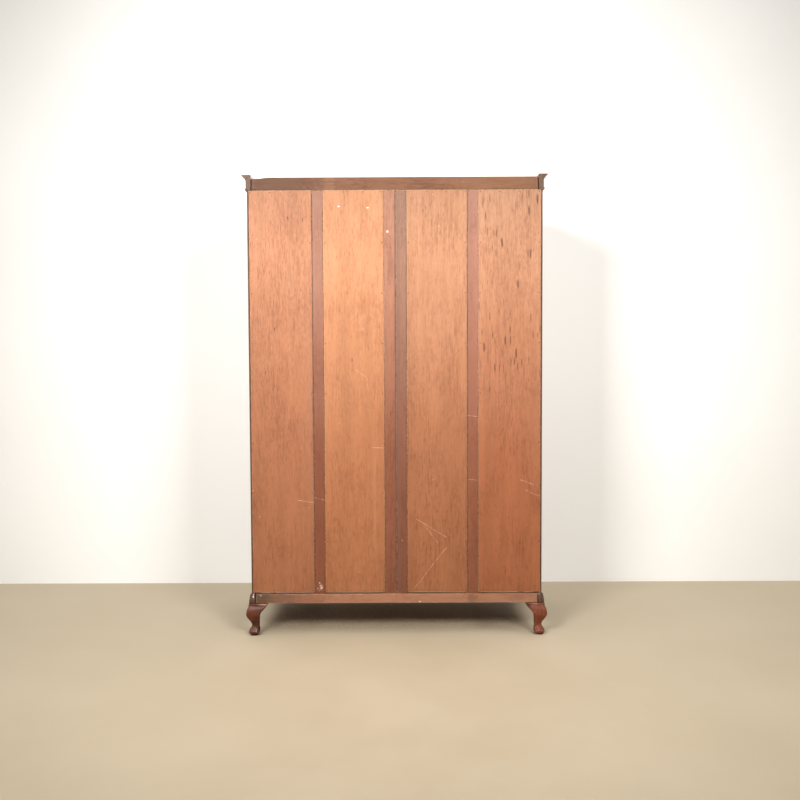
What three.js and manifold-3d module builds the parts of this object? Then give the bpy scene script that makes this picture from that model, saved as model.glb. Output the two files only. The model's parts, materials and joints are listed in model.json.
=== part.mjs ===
// A double-door wardrobe on short cabriole legs: base, carcass, framed plywood back, loose cornice,
// two framed doors with their brassware, a hat shelf and a hanging rail.
// Millimetres, +Z up. The doors face -Y and the framed back faces +Y. Left and right are those of
// someone who faces the doors, so right is +X. The origin is on the floor under the middle.
import * as THREE from "three";
import { mergeVertices } from "three/addons/utils/BufferGeometryUtils.js";
import Module from "manifold-3d";

const wasm = await Module();
wasm.setup();

// ---------------------------------------------------------------- driving dimensions

// Overall sizes and the clearances that pieces keep to each other.
const caseWidth = 1220; // over the two sides
const caseDepth = 533; // front edge to rear edge of a side
const overallHeight = 1922;
const gap = 0.3; // between fixed pieces that touch
const slack = 3; // above and below a door

// Legs: square-cut cabriole blocks, the same curve on both outer faces.
const legHeight = 135;
const legSpread = 12; // a leg's outer corner beyond the case, each way

// Base: mouldings at the front and sides, a plain rail at the rear.
const baseHeight = 45;
const baseThickness = 25;
const frontRailDepth = 45;
const rearRailHeight = 38;
const nosingHeight = 15; // upright face below the ovolo
const ovoloStep = 2;

// Carcass boards.
const sideThickness = 22;
const boardThickness = 20;
const housingDepth = 6; // a board's end let into a side
const rearLip = 6.5; // side left standing outside the back panel

// Framed back.
const panelThickness = 5.5;
const panelSetIn = 1; // panel face in from the sides' rear edges
const frameSetIn = 2.5; // muntin face in from the panel face
const frameThickness = 20;
const muntinWidth = 44; // visible face
const muntinCentre = 321; // from the middle of the case
const stileFace = 46; // centre stiles' visible face, from the middle of the case
const jointOffset = -2; // the two halves meet a little off the middle
const frameRebate = 12; // seat under each panel's edge
const panelGroove = 2; // open line beside each panel

// Cornice.
const corniceHeight = 65;
const corniceInset = 16; // inner face in from the case's outer face
const corniceBoardHeight = 54;
const corniceBoardThickness = 20;
const boardEndGap = 4; // dark gap at each end of the rear boards
const tongueThickness = 9; // what crosses that gap, out of sight

// Doors.
const doorThickness = 22;
const hingeGap = 2;
const meetingGap = 2;
const stopGap = 1.5; // door back to the boards it closes on
const stileWidth = 72;
const topRailHeight = 82;
const bottomRailHeight = 112;
const doorPanelThickness = 8;
const grooveDepth = 9;
const panelPlay = 1; // panel edge to the groove's bottom
const tenonLength = 32;
const tenonShoulder = 12;

// Butt hinges.
const hingeLength = 76;
const hingeInset = 190; // door end to hinge middle
const knuckleRadius = 4.5;
const pinRadius = 1.9;
const pinHead = 3;
const pinHeadHeight = 2;
const leafThickness = 2;
const leafWidth = 16; // along the door's thickness
const pinStandOff = 5; // pin axis in front of the doors

// Lock, key and escutcheon, on the right door.
const keyHeight = 1046;
const lockBackset = 27; // key axis from the door's edge
const lockLength = 42;
const lockHeight = 60;
const lockDepth = 13.7;
const boltRise = 17; // lock bolt's middle above the key axis
const boltHeight = 12;
const boltThickness = 6;
const boltLength = 28;
const boltThrow = 9;
const keyRadius = 2.5;
const keyHoleRadius = 3.2;
const keyBitLength = 6.5;
const keyBitThickness = 2.2;
const keyBitWidth = 7;
const keyReach = 24; // bow's middle in front of the door
const bowRadius = 10;
const bowThickness = 2;
const escutcheonWidth = 22;
const escutcheonHeight = 36;
const escutcheonThickness = 1.2;

// Pendant handles, one on each meeting stile.
const handleHeight = 950; // pivot above the floor
const plateWidth = 34;
const plateHeight = 62;
const plateThickness = 2.5;
const plateDrop = 16; // plate's middle below the pivot
const pivotStandOff = 9.5; // pivot in front of the plate
const earGap = 7;
const earThickness = 3;
const earRadius = 4.5;
const pivotRadius = 1.6;
const lugWidth = 6;
const dropLength = 52;
const dropRadius = 8.3;

// Flush bolts in the left door's meeting stile.
const flushBoltRadius = 4;
const flushBoltLength = 110;
const flushBoltEdge = 14; // bolt axis from the door's edge
const flushBoltTravel = 12;
const flushBoltRest = 1.5; // tip inside the door's end at rest
const thumbWidth = 6;
const thumbHeight = 14;
const thumbProud = 5;

// Inside.
const hatSpace = 259; // between the shelf and the top board
const shelfThickness = 18;
const shelfSetBack = 45; // behind the doors
const railDrop = 55; // rail axis under the shelf
const railRadius = 12.5;
const socketFlangeRadius = 24;
const socketRadius = 18;
const socketFlange = 4;
const socketDepth = 16;
const railClearance = 0.5;

// ---------------------------------------------------------------- derived places

const sideOuter = caseWidth / 2;
const sideInner = sideOuter - sideThickness;
const caseFront = -caseDepth / 2;
const caseRear = caseDepth / 2;
const baseOuter = sideOuter + legSpread;
const baseFront = caseFront - legSpread;
const legCornerRear = caseRear + legSpread;
const baseInner = baseOuter - baseThickness;

const baseBottom = legHeight + gap;
const baseTop = baseBottom + baseHeight;
const caseBottom = baseTop + gap;
const rearRailTop = baseBottom + rearRailHeight;
const corniceBottom = overallHeight - corniceHeight;
const caseTop = corniceBottom - gap;
const bottomBoardTop = caseBottom + boardThickness;

const panelRear = caseRear - panelSetIn;
const panelFront = panelRear - panelThickness;
const frameRear = panelRear - frameSetIn;
const frameFront = frameRear - frameThickness;
const seatY = panelFront - gap;
const panelOuterEdge = sideOuter - rearLip - gap;

const doorBack = caseFront + doorThickness;
const doorBottom = baseTop + slack;
const doorTop = corniceBottom - slack;
const doorEdge = sideInner - hingeGap;
const doorMeet = meetingGap / 2;
const boardFront = doorBack + stopGap;
const doorMiddleY = caseFront + doorThickness / 2;

const hingeX = sideInner - hingeGap / 2;
const hingeY = caseFront - pinStandOff;
const hingeHeights = { lower: doorBottom + hingeInset, upper: doorTop - hingeInset };

const keyX = doorMeet + lockBackset;
const lockFront = doorBack - lockDepth;
const flushBoltX = doorMeet + flushBoltEdge;
const flushBoltY = doorMiddleY + 2;
const handleX = doorMeet + stileWidth / 2;
const pivotY = caseFront - plateThickness - pivotStandOff;
const shelfTop = caseTop - boardThickness - hatSpace;
const shelfBottom = shelfTop - shelfThickness;
const railHeight = shelfBottom - railDrop;

// ---------------------------------------------------------------- materials

const woods = {
  mahogany: { color: 0x5a2b1d, roughness: 0.38 },
  figured: { color: 0x7a3a22, roughness: 0.3 },
  plywood: { color: 0xc07b50, roughness: 0.62 },
  frame: { color: 0x97594a, roughness: 0.6 },
  deal: { color: 0x8f5f47, roughness: 0.72 },
  oak: { color: 0xa9794b, roughness: 0.6 },
};
const metals = {
  brass: { color: 0xb08d4f, roughness: 0.35 },
  steel: { color: 0x6e6a66, roughness: 0.45 },
};

function materialOf(name) {
  if (name in metals) return new THREE.MeshStandardMaterial({ ...metals[name], metalness: 1 });
  return new THREE.MeshStandardMaterial({ ...woods[name], metalness: 0 });
}

// ---------------------------------------------------------------- solids

// A closed three.js geometry as a solid that can be joined and cut.
function solidOf(geometry) {
  const bare = geometry.clone();
  bare.deleteAttribute("normal");
  bare.deleteAttribute("uv");
  const merged = mergeVertices(bare, 1e-4);
  const triangles = [];
  for (let i = 0; i < merged.index.count; i += 3) {
    const corners = [0, 1, 2].map((k) => merged.index.getX(i + k));
    if (new Set(corners).size === 3) triangles.push(...corners);
  }
  return new wasm.Manifold(
    new wasm.Mesh({
      numProp: 3,
      vertProperties: merged.attributes.position.array,
      triVerts: new Uint32Array(triangles),
    }),
  );
}

function indexedGeometry(solid) {
  const mesh = solid.getMesh();
  const geometry = new THREE.BufferGeometry();
  geometry.setAttribute("position", new THREE.BufferAttribute(mesh.vertProperties, 3));
  geometry.setIndex(new THREE.BufferAttribute(mesh.triVerts, 1));
  return geometry;
}

// A solid as a geometry that a mesh can show, with flat faces.
function geometryOf(solid) {
  const faceted = indexedGeometry(solid).toNonIndexed();
  faceted.computeVertexNormals();
  return faceted;
}

function moved(solid, x, y, z) {
  return solidOf(indexedGeometry(solid).translate(x, y, z));
}

// A mirror image across the plane through the origin whose normal is "x", "y" or "z".
function mirrored(solid, axis) {
  const flip = { x: 1, y: 1, z: 1, [axis]: -1 };
  const geometry = indexedGeometry(solid).scale(flip.x, flip.y, flip.z);
  const index = geometry.index.array;
  for (let i = 0; i < index.length; i += 3) [index[i], index[i + 1]] = [index[i + 1], index[i]];
  return solidOf(geometry);
}

function join(...solids) {
  return solids.reduce((whole, solid) => whole.add(solid));
}

function cut(solid, ...tools) {
  return tools.reduce((rest, tool) => rest.subtract(tool), solid);
}

function box(x0, x1, y0, y1, z0, z1) {
  const geometry = new THREE.BoxGeometry(x1 - x0, y1 - y0, z1 - z0);
  geometry.translate((x0 + x1) / 2, (y0 + y1) / 2, (z0 + z1) / 2);
  return solidOf(geometry);
}

// A round bar from one point to another.
function bar(radius, from, to, segments = 24) {
  const start = new THREE.Vector3(...from);
  const run = new THREE.Vector3(...to).sub(start);
  const geometry = new THREE.CylinderGeometry(radius, radius, run.length(), segments);
  geometry.translate(0, run.length() / 2, 0);
  const up = new THREE.Vector3(0, 1, 0);
  geometry.applyQuaternion(new THREE.Quaternion().setFromUnitVectors(up, run.clone().normalize()));
  geometry.translate(start.x, start.y, start.z);
  return solidOf(geometry);
}

function extruded(shape, length, curveSegments) {
  return new THREE.ExtrudeGeometry(shape, { depth: length, bevelEnabled: false, curveSegments });
}

// A shape drawn in y and z, run along X.
function alongX(shape, x0, x1, curveSegments = 8) {
  const turn = new THREE.Matrix4().set(0, 0, 1, x0, 1, 0, 0, 0, 0, 1, 0, 0, 0, 0, 0, 1);
  return solidOf(extruded(shape, x1 - x0, curveSegments).applyMatrix4(turn));
}

// A shape drawn in x and z, run along Y.
function alongY(shape, y0, y1, curveSegments = 8) {
  const turn = new THREE.Matrix4().set(1, 0, 0, 0, 0, 0, -1, y1, 0, 1, 0, 0, 0, 0, 0, 1);
  return solidOf(extruded(shape, y1 - y0, curveSegments).applyMatrix4(turn));
}

// A shape drawn in x and y, run along Z.
function alongZ(shape, z0, z1, curveSegments = 8) {
  return solidOf(extruded(shape, z1 - z0, curveSegments).translate(0, 0, z0));
}

function polygon(...points) {
  return new THREE.Shape(points.map(([a, b]) => new THREE.Vector2(a, b)));
}

// ---------------------------------------------------------------- scene graph

const wardrobe = new THREE.Group();

function add(group, name, solid, material, place = {}) {
  const mesh = new THREE.Mesh(geometryOf(solid), materialOf(material));
  mesh.name = name;
  mesh.position.set(place.x ?? 0, place.y ?? 0, place.z ?? 0);
  mesh.scale.set(place.turnX ?? 1, place.turnY ?? 1, 1);
  group.add(mesh);
}

// A right-hand piece and its mirror image on the left.
function addPair(group, name, solid, material, place = {}) {
  add(group, name + "_right", solid, material, place);
  const opposite = { ...place, x: -(place.x ?? 0), turnX: -(place.turnX ?? 1) };
  add(group, name + "_left", solid, material, opposite);
}

// ---------------------------------------------------------------- legs

// The leg's outline seen from either side: inward from the outer corner, and up from the floor.
function legOutline() {
  const outer = [
    [8, 0],
    [-2, 4],
    [-5, 11],
    [-3, 19],
    [6, 30],
    [11, 42],
    [8, 54],
    [0, 68],
    [-8, 83],
    [-10, 96],
    [-6, 114],
    [0, 126],
  ];
  const inner = [
    [82, legHeight],
    [72, 120],
    [56, 104],
    [46, 91],
    [42, 76],
    [41, 55],
    [41, 39],
    [44, 24],
    [45, 14],
    [41, 5],
    [31, 0],
  ];
  const smooth = (points, steps) => {
    const curve = new THREE.SplineCurve(points.map(([a, b]) => new THREE.Vector2(a, b)));
    return curve.getPoints(steps);
  };
  const outline = [...smooth(outer, 22), new THREE.Vector2(0, legHeight), ...smooth(inner, 20)];
  return new THREE.Shape(outline.map((p) => new THREE.Vector2(p.x, Math.max(p.y, 0))));
}

function makeLegs() {
  const legs = new THREE.Group();
  const reach = 100; // past the leg's width, both ways
  const blank = legOutline();
  const leg = alongX(blank, -reach, reach).intersect(alongY(blank, -reach, reach));
  for (const [end, cornerY, turnY] of [
    ["front", baseFront, 1],
    ["rear", legCornerRear, -1],
  ]) {
    addPair(legs, "leg_" + end, leg, "mahogany", { x: baseOuter, y: cornerY, turnX: -1, turnY });
  }
  return legs;
}

// ---------------------------------------------------------------- base

// Base moulding: out from the case's face, and up from the rail's underside.
function baseOutline(thickness) {
  const shape = new THREE.Shape();
  shape.moveTo(legSpread - thickness, 0);
  shape.lineTo(legSpread, 0);
  shape.lineTo(legSpread, nosingHeight);
  shape.lineTo(legSpread - ovoloStep, nosingHeight);
  const round = legSpread - ovoloStep;
  shape.absellipse(0, nosingHeight, round, baseHeight - nosingHeight - 2, 0, Math.PI / 2, false);
  shape.lineTo(0, baseHeight);
  shape.lineTo(legSpread - thickness, baseHeight);
  shape.closePath();
  return shape;
}

// Runs a moulding's outline along the right side of the case, or along its front.
function mouldingRight(outline, rearEnd, frontEnd, bottom) {
  const run = alongY(outline, frontEnd, rearEnd, 6);
  return moved(run, sideOuter, 0, bottom);
}

function mouldingFront(outline, halfLength, bottom) {
  const run = alongX(outline, -halfLength, halfLength, 6);
  return moved(mirrored(run, "y"), 0, caseFront, bottom);
}

// Everything outside the front moulding's mitre on the right-hand corner.
function mitreTool(outer, front, thickness, bottom, top, shift) {
  const beyond = 20;
  const innerX = outer - thickness + shift;
  const innerY = front + thickness;
  const shape = polygon(
    [outer + beyond + shift, front - beyond],
    [innerX, innerY],
    [innerX, innerY + 3 * beyond],
    [outer + 4 * beyond, innerY + 3 * beyond],
    [outer + 4 * beyond, front - beyond],
  );
  return alongZ(shape, bottom - 1, top + 1);
}

// The front moulding's side of that mitre, which is cut from a side moulding.
function mitreWaste(outer, front, thickness, bottom, top) {
  const beyond = 20;
  const shape = polygon(
    [outer + beyond, front - beyond],
    [outer - thickness - beyond, front + thickness + beyond],
    [outer - thickness - beyond, front - beyond],
  );
  return alongZ(shape, bottom - 1, top + 1);
}

function makeBase() {
  const base = new THREE.Group();
  const run = baseOuter + 5;
  const mitre = mitreTool(baseOuter, baseFront, baseThickness, baseBottom, baseTop, -gap);
  const boltHole = bar(
    flushBoltRadius + gap,
    [-flushBoltX, flushBoltY, baseTop - flushBoltTravel],
    [-flushBoltX, flushBoltY, baseTop + 1],
  );
  const front = cut(
    mouldingFront(baseOutline(frontRailDepth), run, baseBottom),
    mitre,
    mirrored(mitre, "x"),
    boltHole,
  );
  add(base, "base_rail_front", front, "mahogany");

  const waste = mitreWaste(baseOuter, baseFront, baseThickness, baseBottom, baseTop);
  const side = cut(
    mouldingRight(baseOutline(baseThickness), caseRear, baseFront - 5, baseBottom),
    waste,
  );
  addPair(base, "base_rail", side, "mahogany");

  const shoulder = baseInner - boardEndGap;
  const tongueEnd = baseInner - gap;
  const railFront = caseRear - baseThickness;
  const tongueRear = railFront + tongueThickness;
  const rear = join(
    box(-shoulder, shoulder, railFront, caseRear, baseBottom, rearRailTop),
    box(-tongueEnd, tongueEnd, railFront, tongueRear, baseBottom, rearRailTop),
  );
  add(base, "base_rail_rear", rear, "deal");
  return base;
}

// ---------------------------------------------------------------- carcass

function backNotches(z0, z1) {
  const halfMuntin = muntinWidth / 2 + frameRebate + gap;
  const stileEdge = stileFace + frameRebate + gap;
  const notch = (x0, x1) => box(x0, x1, frameFront - gap, caseRear, z0 - 1, z1 + 1);
  return [
    notch(-muntinCentre - halfMuntin, -muntinCentre + halfMuntin),
    notch(-stileEdge, stileEdge),
    notch(muntinCentre - halfMuntin, muntinCentre + halfMuntin),
  ];
}

function makeCarcass() {
  const carcass = new THREE.Group();
  const housing = (front, rear, z0, z1) =>
    box(sideInner - 1, sideInner + housingDepth + gap, front - gap, rear, z0 - gap, z1 + gap);
  const hingeRecess = (z) =>
    box(
      sideInner - 1,
      hingeX + leafThickness + 2 * gap,
      caseFront - 1,
      caseFront + leafWidth + 2 * gap,
      z - hingeLength / 2 - gap,
      z + hingeLength / 2 + gap,
    );
  const side = cut(
    box(sideInner, sideOuter, caseFront, caseRear, caseBottom, caseTop),
    box(sideInner - 1, sideOuter - rearLip, seatY, caseRear + 1, caseBottom - 1, caseTop + 1),
    housing(boardFront, caseRear, caseBottom - 1, bottomBoardTop),
    housing(boardFront, caseRear, caseTop - boardThickness, caseTop),
    housing(boardFront + shelfSetBack, frameFront, shelfBottom, shelfTop),
    hingeRecess(hingeHeights.lower),
    hingeRecess(hingeHeights.upper),
  );
  addPair(carcass, "side", side, "mahogany");

  const boardEnd = sideInner + housingDepth;
  const boardRear = seatY - gap;
  const board = (z0) => {
    const z1 = z0 + boardThickness;
    return cut(
      box(-boardEnd, boardEnd, boardFront, boardRear, z0, z1),
      ...backNotches(z0, z1),
    );
  };
  add(carcass, "bottom_board", board(caseBottom), "oak");
  add(carcass, "top_board", board(caseTop - boardThickness), "deal");

  const shelfRear = frameFront - 1;
  const shelf = box(
    -boardEnd,
    boardEnd,
    boardFront + shelfSetBack,
    shelfRear,
    shelfBottom,
    shelfTop,
  );
  add(carcass, "hat_shelf", shelf, "oak");
  return carcass;
}

// ---------------------------------------------------------------- back

function makeBack() {
  const back = new THREE.Group();
  const bottom = rearRailTop + gap;
  const top = caseTop;
  const land = muntinWidth / 2;
  const seat = land + frameRebate;
  const muntin = join(
    box(-seat, seat, frameFront, seatY, bottom, top),
    box(-land, land, frameFront, frameRear, bottom, top),
  );
  addPair(back, "back_muntin", muntin, "frame", { x: muntinCentre });

  const stile = (meet) =>
    join(
      box(meet, stileFace + frameRebate, frameFront, seatY, bottom, top),
      box(meet, stileFace, frameFront, frameRear, bottom, top),
    );
  add(back, "back_stile_right", stile(jointOffset + gap / 2), "frame");
  add(back, "back_stile_left", stile(gap / 2 - jointOffset), "frame", { turnX: -1 });

  const panel = (x0, x1) => box(x0, x1, panelFront, panelRear, caseBottom, top);
  const muntinEdge = land + panelGroove;
  const inner = panel(stileFace + panelGroove, muntinCentre - muntinEdge);
  const outer = panel(muntinCentre + muntinEdge, panelOuterEdge);
  addPair(back, "back_panel_inner", inner, "plywood");
  addPair(back, "back_panel_outer", outer, "plywood");
  return back;
}

// ---------------------------------------------------------------- cornice

// Cornice moulding: out from the case's face, and up from the underside.
function corniceOutline() {
  const topOut = 22;
  const coveOut = 20;
  const friezeOut = 5;
  const beadOut = 9;
  const beadHeight = 9;
  const coveBottom = 38;
  const coveTop = corniceHeight - 4;
  const shape = new THREE.Shape();
  shape.moveTo(-corniceInset, 0);
  shape.lineTo(friezeOut, 0);
  shape.absellipse(
    friezeOut,
    beadHeight / 2,
    beadOut - friezeOut,
    beadHeight / 2,
    -Math.PI / 2,
    Math.PI / 2,
    false,
  );
  shape.lineTo(friezeOut, coveBottom);
  shape.quadraticCurveTo(friezeOut + 1.5, coveTop - 6, coveOut, coveTop);
  shape.lineTo(topOut, coveTop);
  shape.lineTo(topOut, corniceHeight);
  shape.lineTo(-corniceInset, corniceHeight);
  shape.closePath();
  return shape;
}

function makeCornice() {
  const cornice = new THREE.Group();
  const outline = corniceOutline();
  const reach = 22; // the top fillet beyond the case
  const outer = sideOuter + reach;
  const front = caseFront - reach;
  const thickness = reach + corniceInset;
  const mitre = mitreTool(outer, front, thickness, corniceBottom, overallHeight, -gap);
  const boltHole = bar(
    flushBoltRadius + gap,
    [-flushBoltX, flushBoltY, corniceBottom - 1],
    [-flushBoltX, flushBoltY, corniceBottom + flushBoltTravel],
  );
  const frontMoulding = cut(
    mouldingFront(outline, outer + 5, corniceBottom),
    mitre,
    mirrored(mitre, "x"),
    boltHole,
  );
  add(cornice, "cornice_front", frontMoulding, "mahogany");

  const waste = mitreWaste(outer, front, thickness, corniceBottom, overallHeight);
  const sideMoulding = cut(mouldingRight(outline, caseRear, front - 5, corniceBottom), waste);
  addPair(cornice, "cornice", sideMoulding, "mahogany");

  const inner = sideOuter - corniceInset;
  const shoulder = inner - boardEndGap;
  const boardFace = frameRear;
  const boardBack = boardFace - corniceBoardThickness;
  const bottom = corniceBottom;
  const top = bottom + corniceBoardHeight;
  const tongue = inner - gap;
  const board = join(
    box(-shoulder, shoulder, boardBack, boardFace, bottom, top),
    box(-tongue, tongue, boardBack, boardBack + tongueThickness, bottom, top),
  );
  add(cornice, "cornice_rear_board", board, "deal");
  return cornice;
}

// ---------------------------------------------------------------- doors

const openingBottom = doorBottom + bottomRailHeight;
const openingTop = doorTop - topRailHeight;
const openingInner = doorMeet + stileWidth; // edge beside the meeting stile
const openingOuter = doorEdge - stileWidth; // edge beside the hinge stile
const grooveHalf = doorPanelThickness / 2 + gap;
const tenonHalf = doorPanelThickness / 2;
const tenons = [
  [doorBottom + tenonShoulder, openingBottom - grooveDepth],
  [openingTop + grooveDepth, doorTop - tenonShoulder],
];

// A right-hand door stile between two edges, with its panel groove and mortises on the inner edge.
function doorStile(x0, x1, inward) {
  const edge = inward > 0 ? x1 : x0;
  const slot = (depth, half, z0, z1) =>
    box(
      Math.min(edge + inward, edge - inward * depth),
      Math.max(edge + inward, edge - inward * depth),
      doorMiddleY - half,
      doorMiddleY + half,
      z0,
      z1,
    );
  return cut(
    box(x0, x1, caseFront, doorBack, doorBottom, doorTop),
    slot(grooveDepth, grooveHalf, openingBottom - grooveDepth, openingTop + grooveDepth),
    ...tenons.map(([z0, z1]) => slot(tenonLength + 1, tenonHalf + gap, z0 - gap, z1 + gap)),
  );
}

function doorRail(z0, z1, grooveZ0, grooveZ1, tenon) {
  const x0 = openingInner + gap;
  const x1 = openingOuter - gap;
  const body = cut(
    box(x0, x1, caseFront, doorBack, z0, z1),
    box(x0 - 1, x1 + 1, doorMiddleY - grooveHalf, doorMiddleY + grooveHalf, grooveZ0, grooveZ1),
  );
  const reach = tenonLength;
  const tongue = box(
    x0 - reach,
    x1 + reach,
    doorMiddleY - tenonHalf,
    doorMiddleY + tenonHalf,
    tenon[0],
    tenon[1],
  );
  return join(body, tongue);
}

function hingeHousing(z) {
  return box(
    hingeX - leafThickness - 2 * gap,
    doorEdge + 1,
    caseFront - 1,
    caseFront + leafWidth + 2 * gap,
    z - hingeLength / 2 - gap,
    z + hingeLength / 2 + gap,
  );
}

// Keyhole through the stile, and the recess for the lock in its back.
function lockCuts() {
  const recess = box(
    doorMeet - 1,
    doorMeet + lockLength + gap,
    lockFront - gap,
    doorBack + 1,
    keyHeight - lockHeight / 2 - gap,
    keyHeight + lockHeight / 2 + gap,
  );
  const hole = bar(keyHoleRadius, [keyX, caseFront - 1, keyHeight], [keyX, doorBack, keyHeight]);
  const slotHalf = keyBitThickness / 2 + gap;
  const slotBottom = keyHeight - keyRadius - keyBitLength - gap;
  const slot = box(
    keyX - slotHalf,
    keyX + slotHalf,
    caseFront - 1,
    doorBack,
    slotBottom,
    keyHeight,
  );
  return [recess, hole, slot];
}

// Channel, thumb slot and bolt mortises in the left stile, drawn on the right like its door.
function flushBoltCuts() {
  const channelRadius = flushBoltRadius + gap;
  const length = flushBoltLength + flushBoltRest + flushBoltTravel;
  const cuts = [];
  for (const [end, inward] of [
    [doorBottom, 1],
    [doorTop, -1],
  ]) {
    const mouth = end - inward;
    const bottom = end + inward * length;
    cuts.push(
      bar(channelRadius, [flushBoltX, flushBoltY, mouth], [flushBoltX, flushBoltY, bottom]),
    );
    const thumb = end + inward * (flushBoltRest + flushBoltLength - thumbHeight);
    const slotEnds = [
      thumb - inward * (flushBoltTravel + gap),
      thumb + inward * (thumbHeight + gap),
    ];
    cuts.push(
      box(
        flushBoltX - thumbWidth / 2 - gap,
        flushBoltX + thumbWidth / 2 + gap,
        flushBoltY,
        doorBack + 1,
        Math.min(...slotEnds),
        Math.max(...slotEnds),
      ),
    );
  }
  const boltZ = keyHeight + boltRise;
  cuts.push(
    box(
      doorMeet - 1,
      doorMeet + boltThrow,
      lockBoltY() - boltThickness / 2 - gap,
      lockBoltY() + boltThickness / 2 + gap,
      boltZ - boltHeight / 2 - gap,
      boltZ + boltHeight / 2 + gap,
    ),
  );
  return cuts;
}

function lockBoltY() {
  return (lockFront + doorBack) / 2;
}

function makeDoors() {
  const doors = new THREE.Group();
  const hingeStile = cut(
    doorStile(openingOuter, doorEdge, -1),
    hingeHousing(hingeHeights.lower),
    hingeHousing(hingeHeights.upper),
  );
  addPair(doors, "door_hinge_stile", hingeStile, "mahogany");

  const meetingStile = doorStile(doorMeet, openingInner, 1);
  add(doors, "door_meeting_stile_right", cut(meetingStile, ...lockCuts()), "mahogany");
  const left = cut(meetingStile, ...flushBoltCuts());
  add(doors, "door_meeting_stile_left", left, "mahogany", { turnX: -1 });

  const bottomRail = doorRail(
    doorBottom,
    openingBottom,
    openingBottom - grooveDepth,
    openingBottom + 1,
    tenons[0],
  );
  const topRail = doorRail(
    openingTop,
    doorTop,
    openingTop - 1,
    openingTop + grooveDepth,
    tenons[1],
  );
  addPair(doors, "door_bottom_rail", bottomRail, "mahogany");
  addPair(doors, "door_top_rail", topRail, "mahogany");

  const bite = grooveDepth - panelPlay;
  const panel = box(
    openingInner - bite,
    openingOuter + bite,
    doorMiddleY - doorPanelThickness / 2,
    doorMiddleY + doorPanelThickness / 2,
    openingBottom - bite,
    openingTop + bite,
  );
  addPair(doors, "door_panel", panel, "figured");
  return doors;
}

// ---------------------------------------------------------------- hinges

// Knuckles and leaf about the pin's axis. The leaf runs back from the pin along +Y, on the side
// that faceX gives: +1 for the leaf let into the case, -1 for the leaf let into the door.
function hingeLeaf(faceX, knuckles) {
  const half = hingeLength / 2;
  const near = faceX * (gap / 2);
  const far = faceX * (gap / 2 + leafThickness);
  const x0 = Math.min(near, far);
  const x1 = Math.max(near, far);
  const start = pinStandOff + gap;
  let leaf = box(x0, x1, start, pinStandOff + leafWidth, -half, half);
  for (const [z0, z1] of knuckles) {
    const tab = box(x0, x1, pinRadius + 2 * gap, start + gap, z0, z1);
    leaf = join(leaf, tab, bar(knuckleRadius, [0, 0, z0], [0, 0, z1]));
  }
  return cut(leaf, bar(pinRadius + gap, [0, 0, -half - 1], [0, 0, half + 1]));
}

function makeHinges() {
  const hinges = new THREE.Group();
  const half = hingeLength / 2;
  const middle = hingeLength / 5; // half the door knuckle's length
  const outerKnuckles = [
    [-half, -middle - gap],
    [middle + gap, half],
  ];
  const caseLeaf = hingeLeaf(1, outerKnuckles);
  const doorLeaf = hingeLeaf(-1, [[-middle, middle]]);
  const pin = join(
    bar(pinRadius, [0, 0, -half - pinHeadHeight], [0, 0, half + pinHeadHeight]),
    bar(pinHead, [0, 0, half + gap], [0, 0, half + pinHeadHeight + gap]),
    bar(pinHead, [0, 0, -half - pinHeadHeight - gap], [0, 0, -half - gap]),
  );
  for (const [level, z] of Object.entries(hingeHeights)) {
    const place = { x: hingeX, y: hingeY, z };
    addPair(hinges, `hinge_${level}_case_leaf`, caseLeaf, "brass", place);
    addPair(hinges, `hinge_${level}_door_leaf`, doorLeaf, "brass", place);
    addPair(hinges, `hinge_${level}_pin`, pin, "steel", place);
  }
  return hinges;
}

// ---------------------------------------------------------------- lock

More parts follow.
